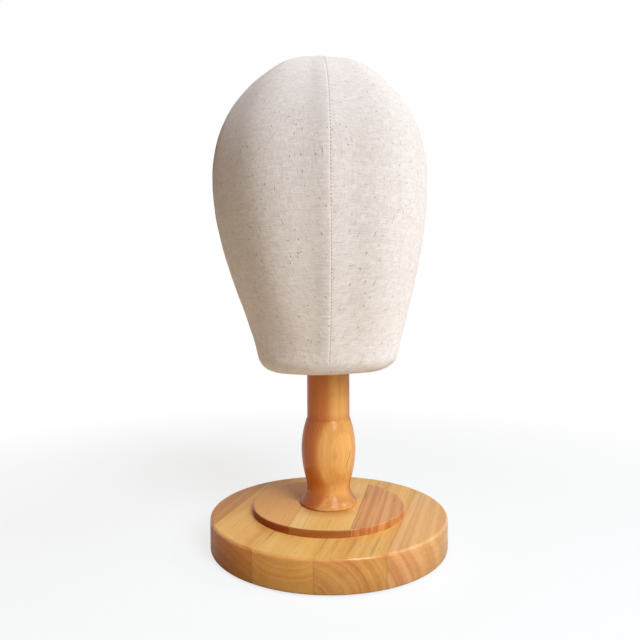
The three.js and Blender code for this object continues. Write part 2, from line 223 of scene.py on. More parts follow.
def newMaterial(name, constants):
    material = bpy.data.materials.new(name)
    material.use_nodes = True
    shader = material.node_tree.nodes["Principled BSDF"]
    for key, value in constants.items():
        shader.inputs[key].default_value = value
    return material, material.node_tree, shader.inputs


def addBump(shader, height, distance):
    values = {"Height": height, "Distance": distance, "Strength": 1.0}
    feed(shader["Normal"], outputOf(height.tree, "ShaderNodeBump", values))


# Wood

# Noises in the grain: repeats in a metre across, along and through the plank, detail, and roughness
grainNoise = {
    "sway": ((9, 2.2, 9), 2, 0.5),
    "wobble": ((60, 9, 60), 1, 0.5),
    "fine": ((520, 9, 520), 3, 0.62),
    "silky": ((110, 2.6, 110), 2, 0.5),
    "cloudy": ((26, 6, 26), 2, 0.5),
    "pores": ((1700, 85, 1700), 0, 0.5),
    "rays": ((260, 40, 900), 1, 0.5),
    "marks": ((240, 12, 240), 1, 0.5),
}
# A fade gives the values between which a pattern comes in, and then what it goes from and to
grain = {
    "apart": (0.37, 0.91),  # metres that a seed of 1 moves the patterns, across and along
    "ringsApart": 7.0,
    "sway": (0.022, 0, 0.022), "wobble": (0.0016, 0, 0.0016),  # bends of the rings, in metres
    "tonePitch": 0.8, "toneDetail": 3, "toneFade": (0.34, 0.68), "toneShare": 0.62,
    "lineRise": (0.6, 0.94), "lineFall": (0.955, 1.0, 1, 0), "lineGaps": (0.35, 0.65), "lineShare": 0.5,
    "stripeFade": (0.3, 0.7), "fineShare": 0.45, "silkyShare": 0.55, "cloudyShare": 0.12,
    "fleckRepeats": (42, 14, 42), "fleckRarity": 0.86, "fleckFade": (0.02, 0.06, 1, 0), "fleckShare": 0.3,
    "poreFade": (0.66, 0.78), "markFade": (0.67, 0.78, 0, 0.34), "rayFade": (0.6, 0.8),
    # heart shade: a darker heartwood zone that paints shade onto the stem's left side
    "heartShadeFade": (-0.003, 0.002, 1, 0),
    "endRings": (0, 1, 1, 1.5), "endMarks": (0, 1, 1, 0.2), "endRays": (0, 1, 0, 0.25),
    "heartShade": (0.68, 0.39, 0.27), "pore": (0.20, 0.085, 0.03),
    "spot": (0.16, 0.06, 0.02), "ray": (0.62, 0.54, 0.46),
    "roughness": 0.30, "fineRoughness": 0.10, "endRoughness": 0.08,
    "fineHeight": 0.35, "poreDepth": 0.8,
}


def buildWoodGrain():
    tree, given, wanted = newGroup("woodGrain", {
        "Vector": ("vector", (0, 0, 0)),  # across the plank, along its grain, through it
        "Pith": ("vector", (0, 0, 0)),  # middle of the growth rings
        "Seed": ("value", 0.0),
        "Ring Width": ("value", 0.004),
        "Ring Contrast": ("value", 0.5),
        "Streaks": ("value", 0.5),
        "Pores": ("value", 0.5),
        "Light": ("colour", (0.8, 0.5, 0.2, 1)),
        "Dark": ("colour", (0.5, 0.25, 0.1, 1)),
        "End Grain": ("value", 0.0),
        "End Tint And Shade": ("colour", (0.8, 0.74, 0.68, 1)),
        "Heart Shade": ("value", 0.0),  # radius of a darker heartwood zone, set so that it makes the stem's left side look shaded: painted shade
    }, {"Color": "colour", "Roughness": "value", "Height": "value"})
    g = grain
    seed, ends = given["Seed"], given["End Grain"]
    spot = given["Vector"] + combine(seed * g["apart"][0], seed * g["apart"][1], seed)

    def pattern(name, output="Fac"):
        repeats, detail, roughness = grainNoise[name]
        return noise(spot * repeats, detail=detail, roughness=roughness, output=output)

    sway, wobble = ((pattern(name, "Color") - 0.5) * g[name] for name in ("sway", "wobble"))
    radius = reckon("LENGTH", (given["Vector"] - given["Pith"] + sway + wobble) * (1, 0, 1))
    phase = radius / given["Ring Width"] + seed * g["ringsApart"]
    share = reckon("FRACT", phase)
    tone = remap(lineNoise(phase * g["tonePitch"], g["toneDetail"]), *g["toneFade"])
    line = remap(share, *g["lineRise"]) * remap(share, *g["lineFall"])
    line = line * remap(lineNoise(phase, 0), *g["lineGaps"])
    rings = (tone * g["toneShare"] + line * g["lineShare"]) * given["Ring Contrast"]
    rings = rings * remap(ends, *g["endRings"])
    fine = pattern("fine")
    stripes = remap(fine, *g["stripeFade"]) * g["fineShare"]
    stripes = stripes + remap(pattern("silky"), *g["stripeFade"]) * g["silkyShare"]
    clouds = remap(pattern("cloudy"), *g["stripeFade"]) * g["cloudyShare"]
    depth = rings + stripes * given["Streaks"] + clouds
    colour = mixColour(depth, given["Light"], given["Dark"])
    # painted shade: the darker heartwood zone darkens the side of the stem that turns away from the light
    heartShade = remap(radius - given["Heart Shade"], *g["heartShadeFade"])
    colour = mixColour(heartShade, colour, mixColour(1.0, colour, g["heartShade"], "MULTIPLY"))
    pores = remap(pattern("pores"), *g["poreFade"]) * given["Pores"]
    colour = mixColour(pores, colour, g["pore"])
    cells = addNode(tree, "ShaderNodeTexVoronoi", {"Vector": spot * g["fleckRepeats"], "Scale": 1.0}).outputs
    chosen = reckon("GREATER_THAN", Flow(cells["Color"]).parts()[0], g["fleckRarity"])
    specks = remap(Flow(cells["Distance"]), *g["fleckFade"]) * chosen
    marks = remap(pattern("marks"), *g["markFade"]) * remap(ends, *g["endMarks"])
    colour = mixColour(reckon("MAXIMUM", marks, specks * g["fleckShare"]), colour, g["spot"])
    rays = remap(remap(pattern("rays"), *g["rayFade"]), *g["endRays"])
    endTintAndShade = mixColour(rays, given["End Tint And Shade"], g["ray"])
    # end grain takes a darker tint; where the tint is strong, it also paints shade onto the edges
    colour = mixColour(ends, colour, mixColour(1.0, colour, endTintAndShade, "MULTIPLY"))
    feed(wanted["Color"], colour)
    feed(wanted["Roughness"], fine * g["fineRoughness"] + g["roughness"] + ends * g["endRoughness"])
    feed(wanted["Height"], fine * g["fineHeight"] - pores * g["poreDepth"])
    return tree


woodGrain = buildWoodGrain()
varnish = {
    "specular": 0.03, "relief": 0.00012,
    "edgeRise": (0.1, 0.3), "edgeFall": (0.75, 0.95, 1, 0),  # upward part of the normal on a rounded edge
    "glueFade": (0.0002, 0.0006, 0.16, 0), "glue": (0.22, 0.10, 0.04),  # thin line where two planks meet
}
plainWood = {"coat": 0.12, "coatRoughness": 0.13, "endTintAndShade": (0.85, 0.73, 0.66), "heartShade": 0.0}


def woodMaterial(name, look, mark=None):
    look = {**plainWood, **look}
    material, tree, shader = newMaterial(name, {
        "Coat Weight": look["coat"],
        "Coat Roughness": look["coatRoughness"],
        "Specular IOR Level": varnish["specular"],
    })
    spot = attribute(tree, "grainSpace")
    grown = placeGroup(tree, woodGrain, {
        "Vector": spot,
        "Pith": look["pith"],
        "Seed": look["seed"],
        "Ring Width": look["ringWidth"],
        "Ring Contrast": look["rings"],
        "Streaks": look["streaks"],
        "Pores": look["pores"],
        "Light": look["light"],
        "Dark": look["dark"],
        "End Grain": attribute(tree, "endGrain", "Fac"),
        "End Tint And Shade": look["endTintAndShade"],
        "Heart Shade": look["heartShade"],
    })
    colour = grown["Color"]
    for edge in look.get("edges", ()):
        near = remap(abs(spot.parts()[0] - edge), *varnish["glueFade"])
        colour = mixColour(near, colour, varnish["glue"])
    if mark:
        colour = mark(spot, colour)
    feed(shader["Base Color"], colour)
    feed(shader["Roughness"], grown["Roughness"])
    if "edgeCoat" in look:  # the varnish gathers on the rounded edges
        upward = coordinate(tree, "Normal").parts()[2]
        rounded = remap(upward, *varnish["edgeRise"]) * remap(upward, *varnish["edgeFall"])
        feed(shader["Coat Weight"], rounded * look["edgeCoat"] + look["coat"])
    addBump(shader, grown["Height"], varnish["relief"])
    return material


# Cloth

# Threads that show darker than the rest: share of places that have one, and lengths in metres
flecks = (
    {"spacing": 0.009, "share": 0.022, "short": 0.0016, "long": 0.0075, "depth": 0.95},
    {"spacing": 0.024, "share": 0.018, "short": 0.004, "long": 0.015, "depth": 0.55},
    {"spacing": 0.060, "share": 0.16, "short": 0.012, "long": 0.050, "depth": 0.16},
)
fleckForm = {"apart": 0.377, "ends": (0.75, 1.0, 1, 0), "sides": (0.38, 0.5, 1, 0), "palest": 0.35}
weaveForm = {
    "waves": (45, 45, 45), "drift": (0.003, 0.003, 0),  # the threads wander, in metres
    "crown": 3.4, "arch": math.pi * 0.8,  # how round a thread is, and how far it bows at a crossing
    "threadsApart": 17.31, "shadeRepeats": 190, "shadeApart": 5.6, "shadeFade": (0.7, 1.3),
    "fleckSeeds": (3.1, 7.3), "fleckShares": (1.0, 0.6), "fleckHeight": 0.6,
}


def addFleck(threads, length, seed, kind):
    index, offset = threads
    spot = length / kind["spacing"] + index * fleckForm["apart"]
    cell = reckon("FLOOR", spot)
    dice = addNode(spot.tree, "ShaderNodeTexWhiteNoise", {"Vector": combine(index, cell, seed)}).outputs
    first, second, third = Flow(dice["Color"]).parts()
    chosen = reckon("LESS_THAN", Flow(dice["Value"]), kind["share"])
    least, most = (kind[end] / kind["spacing"] / 2 for end in ("short", "long"))
    half = remap(reckon("POWER", first, 2.0), 0, 1, least, most, curved=False)
    middle = remap(second, 0, 1, most, 1 - most, curved=False)
    body = remap(abs(spot - cell - middle) / half, *fleckForm["ends"])
    width = remap(abs(offset), *fleckForm["sides"])
    depth = remap(third, 0, 1, kind["depth"] * fleckForm["palest"], kind["depth"], curved=False)
    return chosen * depth * (body * width)


def buildWeave():
    tree, given, wanted = newGroup("weave", {
        "Vector": ("vector", (0, 0, 0)),  # across and along the cloth
        "Pitch": ("value", 0.0006),
        "Flecks": ("value", 1.0),
        "Seed": ("value", 0.0),
    }, {"Height": "value", "Shade": "value", "Fleck": "value"})
    form = weaveForm
    across, along, _ = given["Vector"].parts()
    wave = noise(given["Vector"] * form["waves"], output="Color")
    drift = ((wave - 0.5) * form["drift"]).parts()
    sets = []
    for position, aside in zip((across, along), drift):
        count = (position + aside) / given["Pitch"]
        sets.append((reckon("FLOOR", count), reckon("FRACT", count) - 0.5))
    warp, weft = sets
    odd = abs(reckon("MODULO", warp[0] + weft[0], 2.0))
    bumps = []
    for crossing, running in ((warp[1], weft[1]), (weft[1], warp[1])):
        crown = 1.0 - crossing * crossing * form["crown"]
        bumps.append(crown * reckon("COSINE", running * form["arch"]))
    shades = []
    fleck = 0.0
    for number, (threads, length) in enumerate(((warp, along), (weft, across))):
        threadSeed = threads[0] * form["threadsApart"] + given["Seed"]
        run = combine(threadSeed, length * form["shadeRepeats"], number * form["shadeApart"])
        shades.append(noise(run, detail=3))
        for rank, kind in enumerate(flecks):
            seed = given["Seed"] + (number * form["fleckSeeds"][0] + rank * form["fleckSeeds"][1])
            made = addFleck(threads, length, seed, kind)
            fleck = reckon("MAXIMUM", fleck, made * form["fleckShares"][number])
    fleck = fleck * given["Flecks"]
    feed(wanted["Height"], mixValue(odd, *bumps) + fleck * form["fleckHeight"])
    feed(wanted["Shade"], remap(shades[0] + shades[1], *form["shadeFade"]))
    feed(wanted["Fleck"], fleck)
    return tree


weave = buildWeave()
soilForm = {"finer": 14, "broadFade": (0.42, 0.75), "fineFade": (0.3, 0.7, 0.5, 1)}


def buildSoiling():
    tree, given, wanted = newGroup("soiling", {
        "Vector": ("vector", (0, 0, 0)),
        "Scale": ("value", 30.0),
        "Color": ("colour", (0.8, 0.8, 0.8, 1)),
        "Soil": ("colour", (0.5, 0.45, 0.4, 1)),
        "Amount": ("value", 0.2),
    }, {"Color": "colour", "Mask": "value"})
    broad = noise(given["Vector"], given["Scale"], detail=3, roughness=0.6)
    fine = noise(given["Vector"], given["Scale"] * soilForm["finer"])
    mask = remap(broad, *soilForm["broadFade"]) * remap(fine, *soilForm["fineFade"]) * given["Amount"]
    feed(wanted["Color"], mixColour(mask, given["Color"], given["Soil"]))
    feed(wanted["Mask"], mask)
    return tree


soiling = buildSoiling()
clothForm = {
    "diffuseRoughness": 1.0, "specular": 0.2, "sheenRoughness": 0.6, "soilScale": 18.0,
    "gapPaintedShade": (-0.2, 0.5, 0.9, 1),  # painted shade: the gaps between the threads are darker
    "roughness": (0.88, 0.8),  # of the cloth and of its flecks
}


def clothMaterial(name, look):
    material, tree, shader = newMaterial(name, {
        "Diffuse Roughness": clothForm["diffuseRoughness"],
        "Specular IOR Level": clothForm["specular"],
        "Sheen Weight": look["sheen"],
        "Sheen Roughness": clothForm["sheenRoughness"],
    })
    spot = attribute(tree, "clothSpace")
    threads = placeGroup(tree, weave, {
        "Vector": spot,
        "Pitch": look["pitch"],
        "Flecks": look["flecks"],
        "Seed": look["seed"],
    })
    colour = mixColour(threads["Shade"], look["dark"], look["light"])
    # painted shade in the low places between the threads
    gaps = remap(threads["Height"], *clothForm["gapPaintedShade"])
    colour = mixColour(1.0, colour, combine(gaps, gaps, gaps), "MULTIPLY")
    colour = mixColour(threads["Fleck"], colour, look["fleck"])
    soiled = placeGroup(tree, soiling, {
        "Vector": spot,
        "Scale": clothForm["soilScale"],
        "Color": colour,
        "Soil": look["soil"],
        "Amount": look["soiling"],
    })
    feed(shader["Base Color"], soiled["Color"])
    feed(shader["Roughness"], mixValue(threads["Fleck"], *clothForm["roughness"]))
    addBump(shader, threads["Height"], look["relief"])
    return material


# Metal, plastic, foam, felt, card and thread

hardForm = {"colourFade": (0.3, 0.7), "roughFade": (0.2, 0.8), "soilRoughness": 0.2}
plainHard = {"metallic": 0.0, "specular": 0.5, "soiling": 0.2}


def hardMaterial(name, look):
    look = {**plainHard, **look}
    material, tree, shader = newMaterial(name, {
        "Metallic": look["metallic"],
        "Specular IOR Level": look["specular"],
    })
    spot = coordinate(tree, "Object")
    texture = noise(spot * look["stretch"], detail=3, roughness=0.6)
    colour = mixColour(remap(texture, *hardForm["colourFade"]), look["dark"], look["light"])
    soiled = placeGroup(tree, soiling, {
        "Vector": spot,
        "Scale": look["soilScale"],
        "Color": colour,
        "Soil": look["soil"],
        "Amount": look["soiling"],
    })
    feed(shader["Base Color"], soiled["Color"])
    rough = remap(texture, *hardForm["roughFade"], *look["rough"])
    feed(shader["Roughness"], rough + soiled["Mask"] * hardForm["soilRoughness"])
    addBump(shader, texture, look["relief"])
    return material


print("shader groups built")


# Meshes

# Points on a bend from the start round the corner to the end, without the start itself
def curve(start, corner, end, steps):
    start, corner, end = (np.array(point, float) for point in (start, corner, end))
    return [tuple((1 - t) ** 2 * start + 2 * t * (1 - t) * corner + t * t * end)
            for t in (k / steps for k in range(1, steps + 1))]


def bend(profile, corner, end, steps):
    profile.extend(curve(profile[-1], corner, end, steps))


# Numbers of the points in rings that follow each other
def ringRows(rings, count, start=0):
    return [[start + ring * count + k for k in range(count)] for ring in range(rings)]


def ringFaces(rows, closed=False, capped=False):
    faces = []
    for below, above in zip(rows, rows[1:] + rows[:1] if closed else rows[1:]):
        for k in range(len(below)):
            after = (k + 1) % len(below)
            corners = list(dict.fromkeys((below[k], below[after], above[after], above[k])))
            if len(corners) > 2:
                faces.append(corners)
    return faces + [rows[0][::-1], rows[-1]] if capped else faces


# Turns a profile of radius and height about an upright axis
def turnedMesh(profile, sides, closed=False, centre=(0, 0), low=0):
    vertices, rows = [], []
    for radius, height in profile:
        points = sides if radius else 1  # a row on the axis is one point
        rows.append([len(vertices) + k % points for k in range(sides)])
        for angle in (2 * math.pi * k / sides for k in range(points)):
            x, y = radius * math.cos(angle), radius * math.sin(angle)
            vertices.append((centre[0] + x, centre[1] + y, low + height))
    return np.array(vertices, float), ringFaces(rows, closed)


def newMesh(name, vertices, faces):
    mesh = bpy.data.meshes.new(name)
    mesh.from_pydata((np.asarray(vertices) * mm).tolist(), [], faces)
    return mesh


# Rounds the shading except over edges sharper than the angle
def smoothShade(piece, sharp=35):
    piece.data.polygons.foreach_set("use_smooth", [True] * len(piece.data.polygons))
    piece.data.set_sharp_from_angle(angle=math.radians(sharp))


def newPiece(name, shape, material, sharp=35):
    piece = addObject(name, newMesh(name, *shape))
    piece.data.materials.append(material)
    smoothShade(piece, sharp)
    return piece


def place(piece, body, slotName, *nodes):
    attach(piece, body)
    if nodes:
        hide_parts(*nodes)
    return piece


def carve(piece, cutters):
    for shape in cutters:
        tool = addObject("cutter", newMesh("cutter", *shape))
        step = piece.modifiers.new("cut", "BOOLEAN")
        step.object = tool
        step.operation = "DIFFERENCE"
        step.solver = "EXACT"
        bpy.context.view_layer.update()
        carved = bpy.data.meshes.new_from_object(piece.evaluated_get(bpy.context.evaluated_depsgraph_get()))
        piece.modifiers.remove(step)
        spent = (piece.data, tool.data)
        piece.data = carved
        bpy.data.objects.remove(tool)
        for mesh in spent:
            bpy.data.meshes.remove(mesh)
    piece.data.name = piece.name
    smoothShade(piece)


def setAttribute(piece, name, kind, values):
    layer = piece.data.attributes.new(name, kind, "POINT")
    field = "vector" if kind == "FLOAT_VECTOR" else "value"
    layer.data.foreach_set(field, np.asarray(values, np.float32).ravel())


def meshValues(mesh, field):
    values = np.zeros(len(mesh.vertices) * 3)
    mesh.vertices.foreach_get(field, values)
    return values.reshape(-1, 3)


def turnAboutZ(points, degrees):
    angle = math.radians(degrees)
    c, s = math.cos(angle), math.sin(angle)
    return np.asarray(points) @ np.array([[c, -s, 0], [s, c, 0], [0, 0, 1]]).T


endGrainFrom, endGrainOver = 0.15, 0.35  # share of the normal along the grain where end grain comes in


# Grain coordinates of a plank that lies flat, or of a piece that was turned upright
def setGrain(piece, turn=0.0, upright=False):
    points, normals = (meshValues(piece.data, field) for field in ("co", "normal"))
    if upright:
        space, ends = points[:, [0, 2, 1]], np.abs(normals[:, 2])
    else:
        space, ends = turnAboutZ(points, -turn), np.abs(turnAboutZ(normals, -turn)[:, 1])
    setAttribute(piece, "grainSpace", "FLOAT_VECTOR", space)
    setAttribute(piece, "endGrain", "FLOAT", np.clip((ends - endGrainFrom) / endGrainOver, 0, 1))


# Base and plinth, glued up from planks

base = {
    "radius": 95.0, "thickness": 24.5, "sides": 192,
    "topRounding": 2.5, "bottomRounding": 1.2, "roundingSteps": 8,
    "turn": -20.7,  # degrees from front to back
    "lines": (-74.0, -28.9, 16.2, 61.3),  # glue lines across the planks
    "webBottom": 7.7, "webTop": 11.2,  # wood between the tenon's hole and the bolt's
    "woods": (
        # the first plank's strong end tint also paints shade onto the base's left rim
        {"pith": (-60, 0, 70), "seed": 1.7, "light": (0.77, 0.40, 0.125), "dark": (0.51, 0.205, 0.055),
         "rings": 0.5, "endTintAndShade": (0.84, 0.55, 0.42)},
        {"pith": (-58, 0, -40), "seed": 4.1, "light": (0.98, 0.61, 0.185), "dark": (0.76, 0.37, 0.09),
         "rings": 0.42, "endTintAndShade": (0.87, 0.63, 0.55)},
        {"pith": (-4, 0, 62), "seed": 2.3, "light": (1.0, 0.68, 0.215), "dark": (0.80, 0.42, 0.10),
         "rings": 0.4, "endTintAndShade": (0.93, 0.76, 0.70)},
        {"pith": (13.5, 0, -3), "seed": 3.4, "light": (0.99, 0.655, 0.21), "dark": (0.75, 0.38, 0.10),
         "rings": 0.5, "endTintAndShade": (0.88, 0.72, 0.70)},
        {"pith": (12, 0, -8), "seed": 5.2, "light": (0.98, 0.63, 0.27), "dark": (0.75, 0.38, 0.135),
         "rings": 0.75, "endTintAndShade": (1.0, 0.88, 0.86)},
    ),
}
plinth = {
    "radius": 60.8, "thickness": 5.7, "sides": 160,
    "topRounding": 1.0, "bottomRounding": 0.15, "roundingSteps": 6,
    "turn": -15.3,
    "lines": (-18.9, 26.2),
    "woods": (
        # the first two planks' very dark end tints also paint shade onto the plinth's front edge
        {"pith": (-40, 0, 90), "seed": 6.3, "light": (0.95, 0.54, 0.165), "dark": (0.71, 0.32, 0.08),
         "rings": 0.4, "endTintAndShade": (0.42, 0.20, 0.14)},
        {"pith": (10, 0, -30), "seed": 7.9, "light": (1.0, 0.73, 0.275), "dark": (0.84, 0.48, 0.135),
         "rings": 0.4, "endTintAndShade": (0.45, 0.24, 0.17)},
        {"pith": (95, 0, 30), "seed": 8.6, "light": (0.97, 0.55, 0.21), "dark": (0.59, 0.25, 0.08),
         "rings": 0.9},
    ),
}
plankWood = {"ringWidth": 0.0052, "streaks": 0.42, "pores": 0.2, "edgeCoat": 0.7}
screws = {
    "inset": 14.0, "spread": 25.0,  # from the plinth's edge, and degrees from its middle line
    "radius": 2.0, "sink": 5.0, "bite": 4.2, "point": 2.5, "seatGap": 0.3,
    "headRadius": 3.8, "headHeight": 2.4,
    "headForm": ((0.55, 0), (0.85, 0.35), (1.0, 1.2)),  # share of its radius, and height above its face
    "crossLength": 4.0, "crossWidth": 0.8, "crossDepth": 1.1, "turnStep": 31.0, "sides": 48,
}
holes = {  # radius, and sides of the cutter
    "tenon": (12.3, 64), "washer": (11.3, 64), "bolt": (4.3, 48),
    "screw": (2.3, 24), "screwHead": (4.1, 40), "socket": (13.8, 64),
}
glueHalf = 0.05  # half the gap between two planks
past = 1.0  # how far a cutter reaches past the surface
evenRim = 0.8  # a ring beside each rounding keeps its shading off the flat
flatShare = 0.6  # radius of the ring on the flat, as a share


def discMesh(settings, low):
    radius, high, steps = settings["radius"], settings["thickness"], settings["roundingSteps"]
    under, over = settings["bottomRounding"], settings["topRounding"]
    profile = [(0, 0), (radius * flatShare, 0), (radius - under - evenRim, 0), (radius - under, 0)]
    bend(profile, (radius, 0), (radius, under), steps)
    profile += [(radius, under + evenRim), (radius, high - over - evenRim), (radius, high - over)]
    bend(profile, (radius, high), (radius - over, high), steps)
    profile += [(radius - over - evenRim, high), (radius * flatShare, high), (0, high)]
    return turnedMesh(profile, settings["sides"], low=low)


# Cuts a plank out of the round blank. Each cut has its place and the side of the plank, -1 or 1, that it makes.
def slicePlank(name, blank, cuts, turn, material):
    vertices, faces = blank
    work = bmesh.new()
    made = [work.verts.new(point) for point in vertices]
    for corners in faces:
        work.faces.new([made[k] for k in corners])
    for line, side in cuts:
        parts = work.verts[:] + work.edges[:] + work.faces[:]
        cut = {"plane_co": (line, 0, 0), "plane_no": (side, 0, 0), "clear_outer": True}
        bmesh.ops.bisect_plane(work, geom=parts, **cut)
        bmesh.ops.edgenet_fill(work, edges=[edge for edge in work.edges if edge.is_boundary])
    bmesh.ops.recalc_face_normals(work, faces=work.faces[:])
    mesh = bpy.data.meshes.new(name)
    work.to_mesh(mesh)
    work.free()
    points = turnAboutZ(meshValues(mesh, "co"), turn) * mm
    mesh.vertices.foreach_set("co", points.ravel())
    mesh.materials.append(material)
    return addObject(name, mesh)


def nodeSlot(node):
    return next(part["material_slot"] for part in frame["record"]["subparts"] if part["node"] == node)


def glueUp(prefix, nodePrefix, settings, low, cutters):
    blank = discMesh(settings, low)
    lines = (None, *settings["lines"], None)
    for number, wood in enumerate(settings["woods"], 1):
        edges = [(line, side) for line, side in zip(lines[number - 1:], (-1, 1)) if line is not None]
        wood = {
            **plankWood,
            **wood,
            "pith": tuple(value * mm for value in wood["pith"]),
            "edges": [line * mm for line, _ in edges],
        }
        name, node = f"{prefix}{number}", f"{nodePrefix}_{number}"
        cuts = [(line - side * glueHalf, side) for line, side in edges]
        plank = slicePlank(name, blank, cuts, settings["turn"], woodMaterial(f"{name}Wood", wood))
        carve(plank, cutters)
        setGrain(plank, settings["turn"])
        place(plank, "stand", nodeSlot(node), node)


def hole(kind, low, high, centre=(0, 0)):
    radius, sides = holes[kind]
    return turnedMesh([(0, low), (radius, low), (radius, high), (0, high)], sides, centre=centre)


def screwPlaces():
    spread = math.radians(screws["spread"])
    reach = plinth["radius"] - screws["inset"]
    angles = (spread, math.pi - spread, math.pi + spread, -spread)
    return [(reach * math.cos(angle), reach * math.sin(angle)) for angle in angles]


def screwHoles(kind, low, high):
    shapes = (hole(kind, low, high, centre) for centre in screwPlaces())
    return [(turnAboutZ(vertices, base["turn"]), faces) for vertices, faces in shapes]


def makeBase():
    low = baseUnderside
    cutters = [
        hole("tenon", low + base["webTop"], baseTop + past),
        hole("bolt", low - past, low + base["webTop"] + past),
        hole("washer", low - past, low + base["webBottom"]),
    ]
    narrow = screwHoles("screw", low - past, baseTop + past)
    wide = screwHoles("screwHead", low - past, low + screws["sink"])
    for pair in zip(narrow, wide):
        cutters += pair
    glueUp("basePlank", "base_plank", base, low, cutters)


def makePlinth():
    low = baseTop
    cutters = [hole("tenon", low - past, plinthTop + past)]
    cutters += screwHoles("screw", low - past, low + screws["bite"] + screws["seatGap"])
    glueUp("plinthPlank", "plinth_plank", plinth, low, cutters)


makeBase()
makePlinth()
print("base and plinth built")


# Stem, heights from the top of the plinth

stem = {
    "footRadius": 23.0, "footRim": 2.6,
    "waistRadius": 17.0, "waistHeight": 16.4,
    "swellRadius": 21.9, "swellHeight": 44.8, "swellTop": 69.6,
    "neckRadius": 17.2, "neckStep": 0.45, "neckEven": 6.0,
    "shoulder": 111.9, "shoulderChamfer": 0.8,
    "spigotRadius": 11.0, "spigotLength": 70.0, "spigotChamfer": 2.0, "spigotEven": 0.6, "spigotBlunt": 0.2,
    "tenonRadius": 12.0, "tenonLength": 18.7, "tenonChamfer": 0.8,
    "boreRadius": 6.3, "boreTop": 5.3,
    "sides": 160,
    "steps": {"foot": 6, "hollow": 18, "waist": 10, "swell": 20, "fall": 18, "shoulder": 4, "spigot": 6},
    "waistTrim": (6, 3),  # points left out below and above the waist, where a softer bend takes their place
    "wood": {
        # the heart radius puts the darker heartwood zone on the stem's left side, as painted shade
        "pith": (-0.018, 0, 0.044), "seed": 9.4, "ringWidth": 0.0043, "heartShade": 0.0613,
        "light": (0.95, 0.57, 0.18), "dark": (0.66, 0.30, 0.075),
        "rings": 0.2, "streaks": 0.55, "pores": 0.3, "coat": 0.4, "coatRoughness": 0.18,
    },
    "crack": {  # on the front
        "from": (16.0, 78.6), "to": (13.0, 63.8),  # across and up
        "width": 0.28, "bow": 0.5, "core": 0.4, "edge": 1.2,  # the last two as shares of the width
        "top": (0, 0.15), "bottom": (0.85, 1, 1, 0), "depth": 0.8, "colour": (0.10, 0.04, 0.015),
    },
}


def stemProfile(s):
    tenon, tenonEnd, tenonChamfer = s["tenonRadius"], -s["tenonLength"], s["tenonChamfer"]
    foot, rim, waist, waistHeight = s["footRadius"], s["footRim"], s["waistRadius"], s["waistHeight"]
    swell, swellHeight, swellTop = s["swellRadius"], s["swellHeight"], s["swellTop"]
    neck, neckStep, shoulder, chamfer = s["neckRadius"], s["neckStep"], s["shoulder"], s["shoulderChamfer"]
    spigot, spigotChamfer, blunt = s["spigotRadius"], s["spigotChamfer"], s["spigotBlunt"]
    top, steps, (trimBelow, trimAbove) = shoulder + s["spigotLength"], s["steps"], s["waistTrim"]
    profile = [(0, s["boreTop"]), (s["boreRadius"], s["boreTop"]), (s["boreRadius"], tenonEnd)]
    profile += [(tenon - tenonChamfer, tenonEnd), (tenon, tenonEnd + tenonChamfer), (tenon, 0)]
    profile.append((foot - rim / 2, 0))
    bend(profile, (foot, 0), (foot, rim / 2), steps["foot"])
    bend(profile, (foot, rim), (foot - rim / 4, rim), steps["foot"])
    bend(profile, (waist, (rim + waistHeight) / 2), (waist, waistHeight), steps["hollow"])
    del profile[-trimBelow:]
    middle = (swell, (waistHeight + swellHeight) / 2)
    rise = curve((waist, waistHeight), middle, (swell, swellHeight), steps["swell"])[trimAbove:]
    bend(profile, (waist, waistHeight), rise[0], steps["waist"])
    profile += rise[1:]
    bend(profile, (swell, (swellHeight + swellTop) / 2), (neck + neckStep, swellTop), steps["fall"])
    profile += [(neck, swellTop + neckStep), (neck, swellTop + s["neckEven"]), (neck, shoulder - chamfer)]
    bend(profile, (neck, shoulder), (neck - chamfer, shoulder), steps["shoulder"])
    profile += [(spigot, shoulder), (spigot, shoulder + s["spigotEven"]), (spigot, top - spigotChamfer)]
    bend(profile, (spigot - blunt, top - blunt), (spigot - spigotChamfer, top), steps["spigot"])
    return profile + [(0, top)]


# A short dark crack that runs nearly with the grain
def addCrack(spot, colour):
    crack = stem["crack"]
    (x0, z0), (x1, z1) = (np.array(crack[end]) * mm for end in ("from", "to"))
    width, bow = crack["width"] * mm, crack["bow"] * mm
    x, z, y = spot.parts()
    share = (z - z0) / (z1 - z0)
    middle = share * (x1 - x0) + x0 + reckon("SINE", share * (2 * math.pi)) * bow
    mask = remap(abs(x - middle), width * crack["core"], width * crack["edge"], 1, 0)
    inside = remap(share, *crack["top"]) * remap(share, *crack["bottom"])
    mask = mask * inside * reckon("LESS_THAN", y, 0.0)
    return mixColour(mask * crack["depth"], colour, crack["colour"])


def makeStem():
    shape = turnedMesh(stemProfile(stem), stem["sides"], low=plinthTop)
    piece = newPiece("turnedStem", shape, woodMaterial("stemWood", stem["wood"], addCrack), sharp=30)
    setGrain(piece, upright=True)
    return piece


place(makeStem(), "stand", "rubberwood", "stem")
print("stem built")


# Head form, heights from its lowest edge

